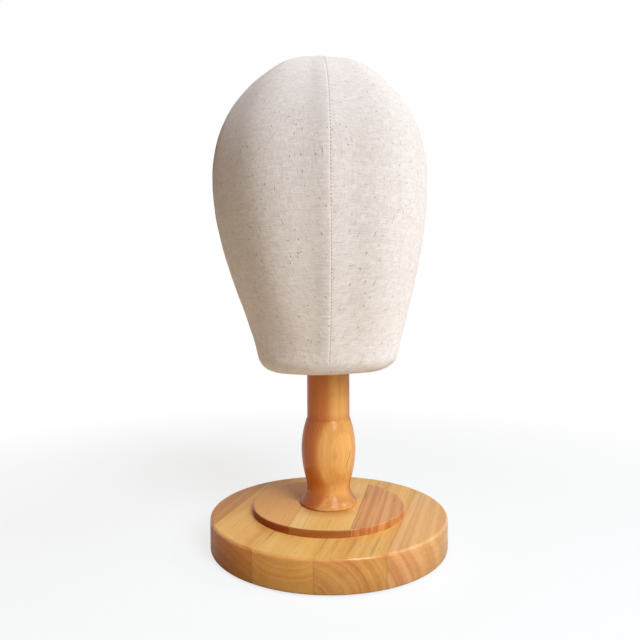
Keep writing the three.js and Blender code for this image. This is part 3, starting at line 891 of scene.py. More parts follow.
head = {
    "height": 245.0, "girthHeight": 152.8, "girthWidth": 173.2,
    "girthFront": 92.0, "girthBack": 94.5, "girthMiddle": 14.0,
    "neckWidth": 109.4, "neckFront": 54.0, "neckBack": 64.0, "neckMiddle": 2.0,
    "crownBack": 12.0, "crownLean": -5.8, "crownEnd": 89.2, "taper": 1.55,
    "rimRadius": 11.4, "tuckRadius": 5.0, "tuckAngle": 60.0,
    "seamSlant": 4.4,
    "hemInset": 27.73,
    "rows": (5, 6, 12, 64, 46),  # over the hem, the tuck, the rim, the side and the crown
    "coreRows": (1, 3, 6, 24, 18),
}
cover = {
    "thickness": 0.9,
    "seamHalfGap": 0.03, "hemGapShare": 0.05,
    "keel": 2.2, "keelWidth": 24.0,  # how far the tight seam stands out
    "keelRounding": {"left": 5.0, "right": 0.6},
    "keelRise": (5, 34), "keelFall": (185, 240), "keelFallShare": 0.8, "keelTuck": (0, 6),
    "ridge": 0.5, "ridgeWidth": 3.6,  # the allowance is pressed to the left and lifts the cloth over it
    "ridgeEdge": 6.5, "ridgeRise": (7, 20),
    "fullness": 3.8,  # extra padding where the front turns into the side
    "fullnessAt": 0.49, "fullnessReach": 0.34,  # as shares of the half width
    "fullnessRise": (12, 60), "fullnessFront": (0, 25),
    "fold": {"left": (1.6, 0.72), "right": (0.5, 0.1)},  # width and depth
    "seamEnd": (8.5, 12.5),  # below it the seam is pressed flat
    "unevenness": 0.16, "unevenPitch": 34, "unevenSeed": 5, "unevenFade": (0.5, 14),
    "gathers": 0.28, "gatherCount": 19, "gatherSway": (1.3, 5), "gatherForm": 0.6, "gatherFade": (9, 15),
    "rimTilt": 1.3,  # degrees that the lower rim hangs lower on the left
    "tiltRise": (3, 30), "tiltTuck": (9, 13),
    "hemDip": 9.0,  # the weft dips towards the seams near the hem
    "panelsApart": 700.0,  # in the weave, so that no thread runs on over the seam
    "seamColumns": (0, 0.12, 0.3, 0.5, 0.75, 1.05, 1.5, 2.2, 3.2, 4.6, 6.0, 6.8, 7.4, 8.0, 8.8, 10.0, 12.0),
    "seamShare": 0.16,  # most of a row that those columns take
    "columns": 52,
}


def smoothstep(value, low=0.0, high=1.0):
    t = np.clip((value - low) / (high - low), 0, 1)
    return t * t * (3 - 2 * t)


def headSection(height):
    isCrown = height > head["girthHeight"]
    rise = np.where(isCrown, (height - head["girthHeight"]) / (head["height"] - head["girthHeight"]), 0)
    fall = np.where(isCrown, 0, 1 - height / head["girthHeight"])
    dome = np.sqrt(np.clip(1 - rise ** 2, 0, None))
    taper = (1 - fall ** 2) ** head["taper"]

    def between(neck, girth, crown):
        return np.where(isCrown, crown + (girth - crown) * dome, neck + (girth - neck) * taper)

    return {
        "halfWidth": between(head["neckWidth"] / 2, head["girthWidth"] / 2, 0),
        "front": between(head["neckFront"], head["girthFront"], -head["crownBack"]),
        "back": between(head["neckBack"], head["girthBack"], head["crownBack"]),
        "middle": between(head["neckMiddle"], head["girthMiddle"], head["crownBack"]),
        "lean": head["crownLean"] * smoothstep(1 - fall),
        "seam": -np.radians(head["seamSlant"]) * fall ** 2,
    }


# Points of the head's outline. The share of a round runs from the front over the right side to the back.
def headPoints(height, inset, share):
    section = headSection(height)
    isRight = share <= 0.5
    half = np.where(isRight, share * 2, share * 2 - 1)
    start = np.where(isRight, section["seam"], math.pi)
    end = np.where(isRight, math.pi, 2 * math.pi + section["seam"])
    angle = start + (end - start) * half
    forward = np.cos(angle)
    reach = np.where(forward > 0, section["front"] + section["middle"], section["back"] - section["middle"])
    x = section["lean"] + (section["halfWidth"] - inset) * np.sin(angle)
    y = section["middle"] - (reach - inset) * forward
    return np.stack([x, y, height + 0 * x], axis=-1)


# Height and inset of each row of points, from the hem's inner edge to the crown
def headRows(counts):
    rim, tuck = head["rimRadius"], head["tuckRadius"]
    turn = math.radians(head["tuckAngle"])
    hem, tuckInset = tuck * (1 - math.cos(turn)), rim + tuck * math.sin(turn)
    rise = head["height"] - head["girthHeight"]

    def spread(first, last, count):
        return np.linspace(first, last, count, endpoint=False)

    rows = [(hem, inset) for inset in spread(head["hemInset"], tuckInset, counts[0])]
    rows += [(tuck * (1 - math.cos(a)), rim + tuck * math.sin(a)) for a in spread(turn, 0, counts[1])]
    rows += [(rim * (1 - math.cos(a)), rim * (1 - math.sin(a))) for a in spread(0, math.pi / 2, counts[2])]
    rows += [(height, 0) for height in spread(rim, head["girthHeight"], counts[3])]
    angles = np.linspace(0, math.radians(head["crownEnd"]), counts[4])
    rows += [(head["girthHeight"] + rise * math.sin(a), 0) for a in angles]
    return np.array(rows)


def gridNormals(points):
    along, across = (np.gradient(points, axis=axis) for axis in (0, 1))
    normals = np.cross(across, along)
    return normals / np.maximum(np.linalg.norm(normals, axis=2, keepdims=True), 1e-12)


waves = {"count": 14, "lengths": (0.6, 1.7)}


# Smooth noise over the surface, as a sum of fixed waves
def ripples(points, length, seed):
    dice = np.random.default_rng(seed)
    total = np.zeros(points.shape[:-1])
    for _ in range(waves["count"]):
        direction = dice.normal(size=3)
        direction /= np.linalg.norm(direction)
        pitch = length * dice.uniform(*waves["lengths"])
        total += np.sin(points @ direction * 2 * math.pi / pitch + dice.uniform(0, 2 * math.pi))
    return total / math.sqrt(waves["count"])


# Where the columns of a panel lie on each row, closer together beside the seams
def panelShares(rows, isRight):
    reach = np.maximum(headSection(rows[:, 0])["halfWidth"] - rows[:, 1], 1.0)
    arc = reach * math.pi  # rough length of the half outline
    near = np.array(cover["seamColumns"])
    nearShare = np.minimum(near[None, :] / arc[:, None], near[None, :] / near[-1] * cover["seamShare"])
    inner = np.linspace(0, 1, cover["columns"] + 2)[1:-1]
    middle = nearShare[:, -1:] + (1 - 2 * nearShare[:, -1:]) * inner[None, :]
    half = np.concatenate([nearShare, middle, 1 - nearShare[:, ::-1]], axis=1)
    return half / 2 if isRight else 0.5 + half / 2


def seamDistance(points):
    section = headSection(points[..., 2])
    front = section["lean"] + section["halfWidth"] * np.sin(section["seam"])
    isFront = points[..., 1] < section["middle"]
    return np.abs(points[..., 0] - np.where(isFront, front, section["lean"]))


# Distances along the surface, each added up from the one before it
def runAlong(points, axis):
    steps = np.cumsum(np.linalg.norm(np.diff(points, axis=axis), axis=2), axis=axis)
    return np.concatenate([np.zeros_like(np.take(points[..., 0], [0], axis)), steps], axis=axis)


# Place of each point in the weave: laid out from the middle of the panel, and flat over the crown
def clothSpace(points, rows, shares, isRight):
    run, climb = runAlong(points, 1), runAlong(points, 0)
    middleShare = 0.25 if isRight else 0.75  # a quarter of the way round from either seam
    middle = np.array([np.interp(middleShare, shares[k], run[k]) for k in range(len(rows))])
    across = run - middle[:, None]
    girthRow = int(np.argmin(np.abs(rows[:, 0] - head["girthHeight"])))
    up = climb - climb[girthRow]
    toTop = climb[-1] - climb
    rise = np.clip((rows[:, 0] - head["girthHeight"]) / (head["height"] - head["girthHeight"]), 0, 1)
    weight = smoothstep(rise)[:, None]
    angle = (shares - middleShare) * 2 * math.pi
    topUp = up[-1].mean()
    across = (1 - weight) * across + weight * toTop * np.sin(angle)
    up = (1 - weight) * up + weight * (topUp - toTop * np.cos(angle))
    fall = np.clip(1 - rows[:, 0] / head["girthHeight"], 0, 1)[:, None]
    reach = np.abs(across) / np.maximum(np.abs(across).max(axis=1, keepdims=True), 1)
    up = up + cover["hemDip"] * fall * reach ** 2
    return np.stack([across + (0 if isRight else cover["panelsApart"]), up, 0 * up], axis=-1) * mm


# How far the cloth stands off the form beside the tight seam
def keelLift(distance, height, inset, side):
    rounding = cover["keelRounding"][side]
    reach = cover["keelWidth"] + rounding
    blunt = np.sqrt(distance ** 2 + rounding ** 2)
    lift = cover["keel"] * (reach / cover["keelWidth"] * np.clip(1 - blunt / reach, 0, 1)) ** 2
    lift = lift * smoothstep(height, *cover["keelRise"])
    lift = lift * (1 - cover["keelFallShare"] * smoothstep(height, *cover["keelFall"]))
    lift = lift * (1 - smoothstep(inset, *cover["keelTuck"]))
    if side == "left":
        edge = smoothstep(distance, cover["ridgeWidth"], cover["ridgeWidth"] + cover["ridgeEdge"])
        lift = lift + cover["ridge"] * (1 - edge) * smoothstep(height, *cover["ridgeRise"])
    return lift


def coverLift(points, height, inset, shares, side):
    distance = seamDistance(points)
    lift = cover["unevenness"] * ripples(points, cover["unevenPitch"], cover["unevenSeed"])
    lift = lift * smoothstep(distance, *cover["unevenFade"])
    lift = lift + keelLift(distance, height, inset, side)
    halfWidth = headSection(height)["halfWidth"]
    turned = (distance / np.maximum(halfWidth, 1) - cover["fullnessAt"]) / cover["fullnessReach"]
    fullness = cover["fullness"] * np.clip(1 - turned ** 2, 0, 1) ** 2 * halfWidth / head["girthWidth"] * 2
    fullness = fullness * smoothstep(height, *cover["fullnessRise"])
    lift = lift + fullness * smoothstep(-points[..., 1], *cover["fullnessFront"])
    foldWidth, foldDepth = cover["fold"][side]
    fold = np.clip(1 - distance / foldWidth, 0, 1)
    isSewn = smoothstep(height, *cover["seamEnd"])
    lift = lift - foldDepth * isSewn * (1 - np.sqrt(np.clip(1 - fold ** 2, 0, 1)))
    angle = shares * 2 * math.pi
    sway, swayCount = cover["gatherSway"]
    gathers = np.abs(np.sin(angle * cover["gatherCount"] + sway * np.sin(angle * swayCount)))
    gathers = gathers ** cover["gatherForm"] - cover["gatherForm"]
    return lift + cover["gathers"] * gathers * smoothstep(inset, *cover["gatherFade"])


# Outer and inner skin, their edges, and the crown, where each skin runs to one point
def panelFaces(rowCount, columnCount):
    under = rowCount * columnCount
    outerTop, innerTop = 2 * under, 2 * under + 1
    rows = ringRows(rowCount, columnCount)
    first, last = rows[0], rows[-1]
    faces = []
    for below, above in zip(rows, rows[1:]):
        for k in range(columnCount - 1):
            corners = [below[k], below[k + 1], above[k + 1], above[k]]
            faces += [corners, [under + point for point in reversed(corners)]]
    for k in range(columnCount - 1):
        faces.append([last[k], last[k + 1], outerTop])
        faces.append([innerTop, under + last[k + 1], under + last[k]])
        faces.append([first[k + 1], first[k], under + first[k], under + first[k + 1]])
    for below, above in zip(rows, rows[1:]):
        faces.append([below[0], above[0], under + above[0], under + below[0]])
        faces.append([above[-1], below[-1], under + below[-1], under + above[-1]])
    faces.append([last[0], outerTop, innerTop, under + last[0]])
    faces.append([outerTop, last[-1], under + last[-1], innerTop])
    return faces


def makeCover(name, side, material):
    isRight = side == "right"
    rows = headRows(head["rows"])
    height, inset = rows[:, :1], rows[:, 1:]
    shares = panelShares(rows, isRight)
    points = headPoints(height, inset, shares)
    normals = gridNormals(points)
    outer = points + normals * coverLift(points, height, inset, shares, side)[..., None]
    inner = points - normals * cover["thickness"]
    tilt = math.tan(math.radians(cover["rimTilt"])) * (1 - smoothstep(height, *cover["tiltRise"]))
    tilt = tilt * (1 - smoothstep(inset, *cover["tiltTuck"]))
    gap = cover["seamHalfGap"] if isRight else -cover["seamHalfGap"]
    isSewn = smoothstep(height, *cover["seamEnd"])
    for skin in (outer, inner):
        skin[..., 2] += tilt * skin[..., 0] + headBottom
        skin[..., 0] += gap * np.maximum(isSewn, cover["hemGapShare"])
    top = headPoints(*(np.array([value]) for value in (head["height"], 0.0, 0.0)))[0] + (0, 0, headBottom)
    topLift = keelLift(0.0, head["height"], 0.0, side) - cover["fold"][side][1]
    tops = [top + (gap, 0, topLift), top + (gap, 0, -cover["thickness"])]
    vertices = np.concatenate([outer.reshape(-1, 3), inner.reshape(-1, 3), tops])
    piece = newPiece(name, (vertices, panelFaces(*shares.shape)), material, sharp=60)
    space = clothSpace(points, rows, shares, isRight)
    flat, topSpace = space.reshape(-1, 3), space[-1].mean(axis=0)
    setAttribute(piece, "clothSpace", "FLOAT_VECTOR", np.concatenate([flat, flat, [topSpace, topSpace]]))
    return piece


linen = {
    "light": (0.955, 0.94, 0.93), "dark": (0.79, 0.765, 0.745),
    "fleck": (0.25, 0.17, 0.12), "soil": (0.74, 0.66, 0.57),
    "pitch": 0.0006, "flecks": 1.0, "seed": 2.0, "sheen": 0.08, "soiling": 0.1, "relief": 0.00011,
}
linenMaterial = clothMaterial("linen", linen)
coverRight = place(makeCover("coverPanelRight", "right", linenMaterial), "head", "linen", "cover_panel_right")
coverLeft = place(makeCover("coverPanelLeft", "left", linenMaterial), "head", "linen", "cover_panel_left")
print("cover built")


# Thread of the seam, a short slanting stitch at each step

stitch = {
    "step": 2.35, "length": 1.5, "radius": 0.26, "slant": 26.0,  # degrees
    "aside": 0.5, "sink": 0.10, "arch": 0.26, "taper": 3, "tip": 0.012,
    "start": 10.5, "first": 0.5, "slantRange": (0.8, 1.2), "seed": 21, "rings": 7, "sides": 7,
}
seamThread = {
    "light": (0.52, 0.42, 0.34), "dark": (0.32, 0.25, 0.19), "soil": (0.26, 0.2, 0.16), "specular": 0.25,
    "rough": (0.6, 0.8), "stretch": (2600, 2600, 900), "soilScale": 60.0, "relief": 0.00004,
}


def seamLine():
    rows = headRows(head["rows"])
    side = rows[(rows[:, 1] == 0) & (rows[:, 0] >= stitch["start"])]
    front = headPoints(side[:, 0], side[:, 1], np.zeros(len(side)))
    back = headPoints(side[::-1, 0], side[::-1, 1], np.full(len(side), 0.5))
    return np.concatenate([front, back])


def makeStitches():
    line = seamLine()
    run = np.concatenate([[0], np.cumsum(np.linalg.norm(np.diff(line, axis=0), axis=1))])
    tangents = np.gradient(line, axis=0)
    tangents /= np.linalg.norm(tangents, axis=1, keepdims=True)
    sides = np.array([1.0, 0, 0]) - tangents * tangents[:, :1]
    sides /= np.linalg.norm(sides, axis=1, keepdims=True)
    normals = np.cross(sides, tangents)
    dice = np.random.default_rng(stitch["seed"])
    vertices, faces = [], []
    for distance in np.arange(stitch["first"], run[-1], stitch["step"]):
        middle, tangent, side, normal = (
            np.array([np.interp(distance, run, block[:, axis]) for axis in range(3)])
            for block in (line, tangents, sides, normals)
        )
        lean = math.radians(stitch["slant"]) * dice.uniform(*stitch["slantRange"])
        along = tangent * math.cos(lean) + side * math.sin(lean)
        aside = np.cross(normal, along)
        off = keelLift(stitch["aside"], middle[2], 0.0, "right") - stitch["sink"]
        centre = middle + side * stitch["aside"] + normal * off + (0, 0, headBottom)
        faces += ringFaces(ringRows(stitch["rings"], stitch["sides"], len(vertices)), capped=True)
        for step in np.linspace(-1, 1, stitch["rings"]):
            girth = stitch["radius"] * math.sqrt(max(0.0, 1 - abs(step) ** stitch["taper"])) + stitch["tip"]
            ring = centre + along * step * stitch["length"] / 2 - normal * stitch["arch"] * step ** 2
            for angle in (2 * math.pi * k / stitch["sides"] for k in range(stitch["sides"])):
                vertices.append(ring + (aside * math.cos(angle) + normal * math.sin(angle)) * girth)
    return newPiece("seamStitches", (vertices, faces), hardMaterial("seamThread", seamThread), sharp=80)


stitches = place(makeStitches(), "head", "linen")
print("seam sewn")


# Foam core, disc, socket and swivel washer under the head

edgePoints = 144


def outline(inset):
    count = edgePoints
    return headPoints(np.zeros(count), np.full(count, float(inset)), np.arange(count) / count)


def plateMesh(inset, low, high):
    vertices = np.concatenate([outline(inset) + (0, 0, height) for height in (low, high)])
    return vertices, ringFaces(ringRows(2, edgePoints), capped=True)


core = {"inset": 1.3, "boardInset": 17.43, "recessTop": 16.1, "boreTop": 78.1, "columns": 96}
foam = {
    "light": (0.82, 0.79, 0.68), "dark": (0.70, 0.66, 0.54), "soil": (0.6, 0.52, 0.36), "specular": 0.2,
    "rough": (0.85, 0.95), "stretch": (700, 700, 700), "soilScale": 25.0, "relief": 0.0004,
}


def makeCore():
    rows = headRows(head["coreRows"])
    count = core["columns"]
    shares = np.tile(np.arange(count) / count, (len(rows), 1))
    points = headPoints(rows[:, :1], rows[:, 1:], shares)
    closed = np.concatenate([points[:, -1:], points, points[:, :1]], axis=1)
    points = points - gridNormals(closed)[:, 1:-1] * core["inset"]
    points[..., 2] += headBottom
    bottom = (0, 0, points[0, :, 2].mean())
    top = (head["crownLean"], head["crownBack"], headBottom + head["height"] - core["inset"])
    vertices = np.concatenate([points.reshape(-1, 3), [bottom, top]])
    rings = ringRows(len(rows), count)
    faces = ringFaces(rings)
    for k in range(count):
        after = (k + 1) % count
        faces += [[after, k, len(vertices) - 2], [rings[-1][k], rings[-1][after], len(vertices) - 1]]
    piece = newPiece("foamCore", (vertices, faces), hardMaterial("foam", foam))
    board = plateMesh(core["boardInset"], headBottom, headBottom + core["recessTop"])
    carve(piece, [board, hole("socket", headBottom, headBottom + core["boreTop"])])
    return piece


coreMade = place(makeCore(), "head", "foam", "foam_core")

disc = {
    "inset": 16.23, "hole": 18.4, "low": 0.4, "high": 1.8, "cloth": 0.4, "cardGap": 0.1,
    "outerLap": 7.0, "innerLap": 4.0,  # how far the cloth is turned in over the card
    "flat": 3.0, "flatRows": 9,
    # bends of the cloth, first at the top and then underneath, as distances in from its edge and face
    "outside": (((1.2, 0), (0.35, 0.12), (0, 0.5)), ((0, 0.5), (0.2, 0.15), (0.7, 0))),
    "inside": (((0.6, 0), (0, 0.05)), ((0, 0.02), (0.4, 0))),
}
lining = {
    "light": (0.80, 0.73, 0.64), "dark": (0.68, 0.60, 0.51),
    "fleck": (0.36, 0.29, 0.22), "soil": (0.58, 0.50, 0.41),
    "pitch": 0.0007, "flecks": 0.6, "seed": 11.0, "sheen": 0.05, "soiling": 0.25, "relief": 0.00018,
}
cardboard = {
    "light": (0.62, 0.56, 0.47), "dark": (0.5, 0.44, 0.36), "soil": (0.4, 0.34, 0.27), "specular": 0.3,
    "rough": (0.8, 0.9), "stretch": (500, 500, 1500), "soilScale": 30.0, "relief": 0.00005,
}


def edgeRow(inset, height):
    return outline(disc["inset"] + inset) + (0, 0, height + headBottom)


def holeRow(outset, height):
    angle = np.arange(edgePoints) / edgePoints * 2 * math.pi
    radius = disc["hole"] + outset
    ring = np.stack([radius * np.sin(angle), -radius * np.cos(angle), 0 * angle], axis=1)
    return ring + (0, 0, height + headBottom)


# One side of the cloth: in over the edge, along underneath, and in again through the hole
def clothRows(depth, topBend, lowBend):
    low, high, flat = disc["low"] + depth, disc["high"] - depth, disc["flat"]
    points = [(depth + inset, high - drop) for inset, drop in topBend]
    points += [(depth + inset, low + rise) for inset, rise in lowBend]
    rows = [edgeRow(*point) for point in [(disc["outerLap"], high), *points]]
    for share in np.linspace(0, 1, disc["flatRows"]):
        rows.append(edgeRow(flat, low) * (1 - share) + holeRow(flat, low) * share)
    return rows + [holeRow(*point) for point in [*reversed(points), (disc["innerLap"], high)]]


# Each row is a closed ring of points, and the last row joins the first
def ringMesh(rows):
    vertices = np.concatenate([row[::-1] for row in rows])
    return vertices, ringFaces(ringRows(len(rows), edgePoints), closed=True)


def makeDisc():
    cloth = disc["cloth"]
    rows = clothRows(0, *disc["outside"]) + clothRows(cloth, *disc["inside"])[::-1]
    clothPiece = newPiece("undersideCloth", ringMesh(rows), clothMaterial("lining", lining), sharp=60)
    setAttribute(clothPiece, "clothSpace", "FLOAT_VECTOR", meshValues(clothPiece.data, "co") * (1, 1, 0))
    high, low = disc["high"] - cloth - disc["cardGap"], disc["low"] + cloth
    rows = [edgeRow(cloth, high), edgeRow(cloth, low), holeRow(cloth, low), holeRow(cloth, high)]
    return clothPiece, newPiece("undersideCard", ringMesh(rows), hardMaterial("card", cardboard))


discCloth, discCard = makeDisc()
place(discCloth, "head", "lining", "underside_disc")
place(discCard, "head", "lining", "underside_disc")

tube = {
    "bore": 11.3, "outside": 13.5, "depth": 71.8, "top": 74.0, "base": 144.8, "sides": 72,
    "leadIn": 0.5, "floorChamfer": 1.0, "rimChamfer": 0.3, "topChamfer": 0.6,
}
swivel = {"bore": 11.3, "radius": 16.5, "low": 143.6, "high": 144.8, "rounding": 0.3, "sides": 96}
plastic = {
    "light": (0.036, 0.036, 0.038), "dark": (0.022, 0.022, 0.023), "soil": (0.09, 0.085, 0.08),
    "specular": 0.45, "rough": (0.36, 0.5), "stretch": (900, 900, 900),
    "soilScale": 60.0, "soiling": 0.25, "relief": 0.00003,
}
plasticMaterial = hardMaterial("blackPlastic", plastic)


def makeSocket():
    bore, outside, depth, top = (tube[key] for key in ("bore", "outside", "depth", "top"))
    leadIn, floor, rim, edge = (tube[key] for key in ("leadIn", "floorChamfer", "rimChamfer", "topChamfer"))
    profile = [(0, depth), (bore - floor, depth), (bore, depth - floor), (bore, leadIn), (bore + leadIn, 0)]
    profile += [(outside - rim, 0), (outside, rim), (outside, top - edge), (outside - edge, top), (0, top)]
    return newPiece("socketTube", turnedMesh(profile, tube["sides"], low=tube["base"]), plasticMaterial)


def makeRing(name, settings, material, steps=4):
    keys = ("bore", "radius", "low", "high", "rounding")
    bore, radius, low, high, rounding = (settings[key] for key in keys)
    profile = [(bore + rounding, low), (radius - rounding, low)]
    bend(profile, (radius, low), (radius, low + rounding), steps)
    profile.append((radius, high - rounding))
    bend(profile, (radius, high), (radius - rounding, high), steps)
    profile.append((bore + rounding, high))
    bend(profile, (bore, high), (bore, high - rounding), steps)
    profile.append((bore, low + rounding))
    bend(profile, (bore, low), profile[0], steps)
    return newPiece(name, turnedMesh(profile[:-1], settings["sides"], closed=True), material)


place(makeSocket(), "head", "black_plastic", "socket_tube")
place(makeRing("swivelWasher", swivel, plasticMaterial), "swivel", "black_plastic", "swivel_washer")
print("core, disc, socket and swivel washer built")


# Felt pads and fasteners under the base

pads = {
    "radius": 10.0, "thickness": 1.5, "inset": 19.0, "count": 4, "sides": 96,
    "rounding": 0.45, "roundingSteps": 4, "chamfer": 0.1, "inner": 0.5,
    "fray": 0.16, "frayPitch": 1.6, "frayFrom": 0.8, "seed": 40,
}
felt = {
    "light": (0.12, 0.08, 0.06), "dark": (0.055, 0.036, 0.026), "soil": (0.2, 0.16, 0.12), "specular": 0.15,
    "rough": (0.92, 1.0), "stretch": (1500, 1500, 2600), "soilScale": 90.0, "soiling": 0.3, "relief": 0.0003,
}
feltMaterial = hardMaterial("felt", felt)


def makePad(number):
    radius, high, rounding, chamfer = (pads[key] for key in ("radius", "thickness", "rounding", "chamfer"))
    profile = [(0, 0), (radius * pads["inner"], 0), (radius - rounding, 0)]
    bend(profile, (radius, 0), (radius, rounding), pads["roundingSteps"])
    profile += [(radius, high - chamfer), (radius - chamfer, high), (0, high)]
    angle = 2 * math.pi * (number - 0.5) / pads["count"]
    centre = np.array([math.cos(angle), math.sin(angle), 0]) * (base["radius"] - pads["inset"])
    vertices, faces = turnedMesh(profile, pads["sides"])
    reach = np.linalg.norm(vertices[:, :2], axis=1)
    fray = pads["fray"] * ripples(vertices, pads["frayPitch"], pads["seed"] + number - 1)
    fray = fray * smoothstep(reach, radius * pads["frayFrom"], radius)
    vertices[:, :2] *= (1 - np.abs(fray) / np.maximum(reach, 1))[:, None]
    return newPiece(f"feltPad{number}", (vertices + centre, faces), feltMaterial, sharp=50)


for number in range(1, pads["count"] + 1):
    place(makePad(number), "stand", "felt", f"foot_pad_{number}")

steel = {
    "light": (0.62, 0.62, 0.61), "dark": (0.42, 0.42, 0.42), "soil": (0.24, 0.2, 0.17),
    "metallic": 1.0, "rough": (0.28, 0.45), "stretch": (260, 260, 1800),
    "soilScale": 110.0, "soiling": 0.35, "relief": 0.00003,
}
bolt = {
    "corner": 7.5, "sides": 48,  # radius over the corners of the hexagon
    # largest radius and height of each ring, from the face of the head to the tip
    "rings": (
        (6.2, 2.3), (6.9, 2.65), (7.5, 3.25), (7.5, 7.1), (7.0, 7.6), (4.0, 7.6), (4.0, 33.7), (3.0, 34.7),
    ),
}
washer = {"bore": 4.3, "radius": 11.0, "low": 7.6, "high": 9.2, "rounding": 0.25, "sides": 72}
steelMaterial = hardMaterial("zincSteel", steel)


def makeBolt():
    count = bolt["sides"]
    angle = 2 * math.pi * np.arange(count) / count
    apothem = bolt["corner"] * math.cos(math.pi / 6)
    hexagon = apothem / np.cos((angle % (math.pi / 3)) - math.pi / 6)
    rings = []
    for limit, height in bolt["rings"]:
        radius = np.minimum(hexagon, limit)
        rings.append(np.stack([radius * np.cos(angle), radius * np.sin(angle), 0 * angle + height], axis=1))
    shape = np.concatenate(rings), ringFaces(ringRows(len(rings), count), capped=True)
    return newPiece("baseBolt", shape, steelMaterial, sharp=25)


def boxMesh(width, depth, low, high, centre, turn):
    signs = ((-1, -1), (1, -1), (1, 1), (-1, 1))
    corners = [(x * width / 2, y * depth / 2, z) for z in (low, high) for x, y in signs]
    faces = [[3, 2, 1, 0], [4, 5, 6, 7], [0, 1, 5, 4], [1, 2, 6, 5], [2, 3, 7, 6], [3, 0, 4, 7]]
    return turnAboutZ(corners, turn) + (centre[0], centre[1], 0), faces


def makeScrew(number, centre):
    reach, headRadius = screws["radius"], screws["headRadius"]
    seat = baseUnderside + screws["sink"]
    bottom, tip = seat - screws["headHeight"], baseTop + screws["bite"]
    profile = [(0, bottom), *((headRadius * share, bottom + height) for share, height in screws["headForm"])]
    profile += [(headRadius, seat), (reach, seat), (reach, tip - screws["point"]), (0, tip)]
    middle = turnAboutZ([(centre[0], centre[1], 0)], base["turn"])[0]
    shape = turnedMesh(profile, screws["sides"], centre=middle[:2])
    piece = newPiece(f"plinthScrew{number}", shape, steelMaterial, sharp=40)
    low, high, turn = bottom - past, bottom + screws["crossDepth"], screws["turnStep"] * number
    cross = screws["crossLength"], screws["crossWidth"]
    carve(piece, [boxMesh(*size, low, high, middle, turn) for size in (cross, cross[::-1])])
    return piece


place(makeBolt(), "stand", "steel", "base_bolt")
place(makeRing("baseWasher", washer, steelMaterial), "stand", "steel", "base_washer")
for number, centre in enumerate(screwPlaces(), 1):
    place(makeScrew(number, centre), "stand", "steel", f"plinth_screw_{number}")

plywood = {
    "light": (0.72, 0.54, 0.34), "dark": (0.52, 0.36, 0.2), "soil": (0.4, 0.28, 0.16), "specular": 0.3,
    "rough": (0.7, 0.85), "stretch": (60, 400, 700), "soilScale": 25.0, "soiling": 0.25, "relief": 0.00012,
}
stapleCount = 10


# The solid stays as it is and gets a material
def dressNode(node, material):
    target = frame["nodes"][node]
    target.data.materials.clear()
    target.data.materials.append(material)


dressNode("bottom_board", hardMaterial("plywood", plywood))
dressNode("stem_insert", steelMaterial)
for number in range(1, stapleCount + 1):
    dressNode(f"hem_staple_{number:02d}", steelMaterial)
print("pads, fasteners and board finished")


# Areas of the cloth pieces

def surfaceArea(piece):
    return sum(face.area for face in piece.data.polygons) / 2


for panel, extra in ((coverRight, []), (coverLeft, [stitches])):
    print(panel.name, "cloth area", round(surfaceArea(panel), 4))
print(discCloth.name, "cloth area", round(surfaceArea(discCloth), 5))


# Stage

stage = {
    "floorRadius": 3000.0, "floorInner": 600.0, "floorSides": 96,
    "floorColour": (0.20, 0.24, 0.25), "floorLift": (0.79, 0.79, 0.793),
    "fade": (0.2, 0.7),  # metres from the stem between which the floor turns white
    "glow": (1.20, 1.01, 0.78),  # light that the pale table throws back, in a ring
    "glowInner": (0.10, 0.22), "glowOuter": (0.36, 0.7, 1, 0),
    "ambient": (0.17, 0.08, 0.04), "white": (1, 1, 1),
    "aimHeight": 180.0,  # of the point that the lamps face
    "lamps": {
        "key": {
            "azimuth": 27, "elevation": 36, "distance": 1.4, "width": 0.6, "height": 1.35,
            "power": 18.3, "colour": (0.965, 0.99, 1.02),
        },
        "side": {
            "azimuth": 80, "elevation": 33, "distance": 1.4, "width": 0.8, "height": 0.16,
            "power": 3.8, "colour": (0.9, 1.0, 1.05),
        },
    },
}


# 1 where the camera, a reflection or clear material looks at the backdrop, and 0 where it lights the part
def isSeen(tree):
    path = addNode(tree, "ShaderNodeLightPath").outputs
    direct, glossy, clear = (Flow(path[f"Is {kind} Ray"]) for kind in ("Camera", "Glossy", "Transmission"))
    return reckon("MAXIMUM", direct, reckon("MAXIMUM", glossy, clear))


def light(tree, kind, colour, strength=1.0):
    return outputOf(tree, kind, {"Color": colour, "Strength": strength})


def blend(kind, *values):
    return outputOf(treeOf(*values), kind, dict(enumerate(values)))


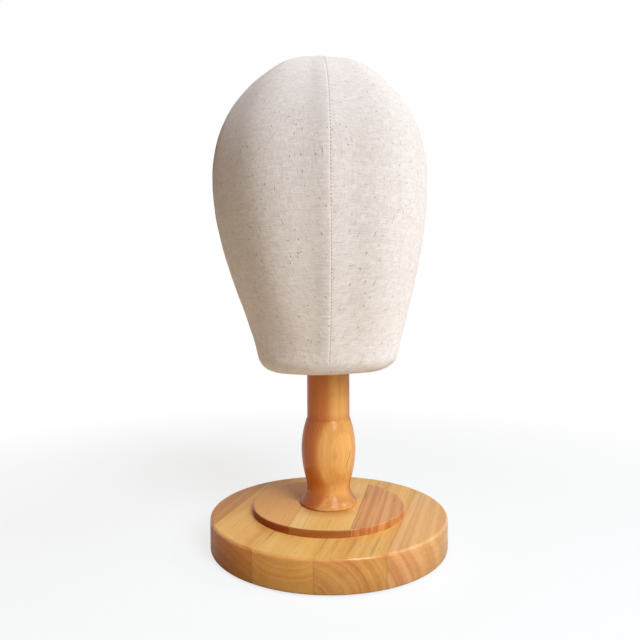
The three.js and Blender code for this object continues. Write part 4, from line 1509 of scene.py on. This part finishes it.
def makeWorld():
    world = bpy.data.worlds.new("studio")
    bpy.context.scene.world = world
    world.use_nodes = True
    tree = world.node_tree
    tree.nodes.clear()
    ambient = light(tree, "ShaderNodeBackground", stage["ambient"])
    white = light(tree, "ShaderNodeBackground", stage["white"])
    shown = blend("ShaderNodeMixShader", isSeen(tree), ambient, white)
    addNode(tree, "ShaderNodeOutputWorld", {"Surface": shown})


def makeFloor():
    profile = [(0, 0), (stage["floorInner"], 0), (stage["floorRadius"], 0)]
    floor = addObject("floor", newMesh("floor", *turnedMesh(profile, stage["floorSides"])))
    material = bpy.data.materials.new("paleFloor")
    material.use_nodes = True
    tree = material.node_tree
    tree.nodes.clear()
    distance = reckon("LENGTH", coordinate(tree, "Object"))
    pale = outputOf(tree, "ShaderNodeBsdfDiffuse", {"Color": stage["floorColour"]})
    lit = blend("ShaderNodeAddShader", pale, light(tree, "ShaderNodeEmission", stage["floorLift"]))
    white = light(tree, "ShaderNodeEmission", stage["white"])
    shown = blend("ShaderNodeMixShader", remap(distance, *stage["fade"]), lit, white)
    ring = remap(distance, *stage["glowInner"]) * remap(distance, *stage["glowOuter"])
    glow = light(tree, "ShaderNodeEmission", stage["glow"], ring)
    surface = blend("ShaderNodeMixShader", isSeen(tree), glow, shown)
    addNode(tree, "ShaderNodeOutputMaterial", {"Surface": surface})
    floor.data.materials.append(material)


def makeLamp(name, settings):
    azimuth, elevation = math.radians(settings["azimuth"]), math.radians(settings["elevation"])
    towards = Vector((
        math.sin(azimuth) * math.cos(elevation),
        -math.cos(azimuth) * math.cos(elevation),
        math.sin(elevation),
    ))
    lamp = bpy.data.lights.new(name, "AREA")
    lamp.shape = "ELLIPSE"
    lamp.size = settings["width"]
    lamp.size_y = settings["height"]
    lamp.energy = settings["power"]
    lamp.color = settings["colour"]
    holder = addObject(name, lamp)
    holder.location = Vector((0, 0, stage["aimHeight"] * mm)) + towards * settings["distance"]
    holder.rotation_mode = "QUATERNION"
    holder.rotation_quaternion = (-towards).to_track_quat("-Z", "Y")


makeWorld()
makeFloor()
for name, settings in stage["lamps"].items():
    makeLamp(name, settings)
print("stage built")
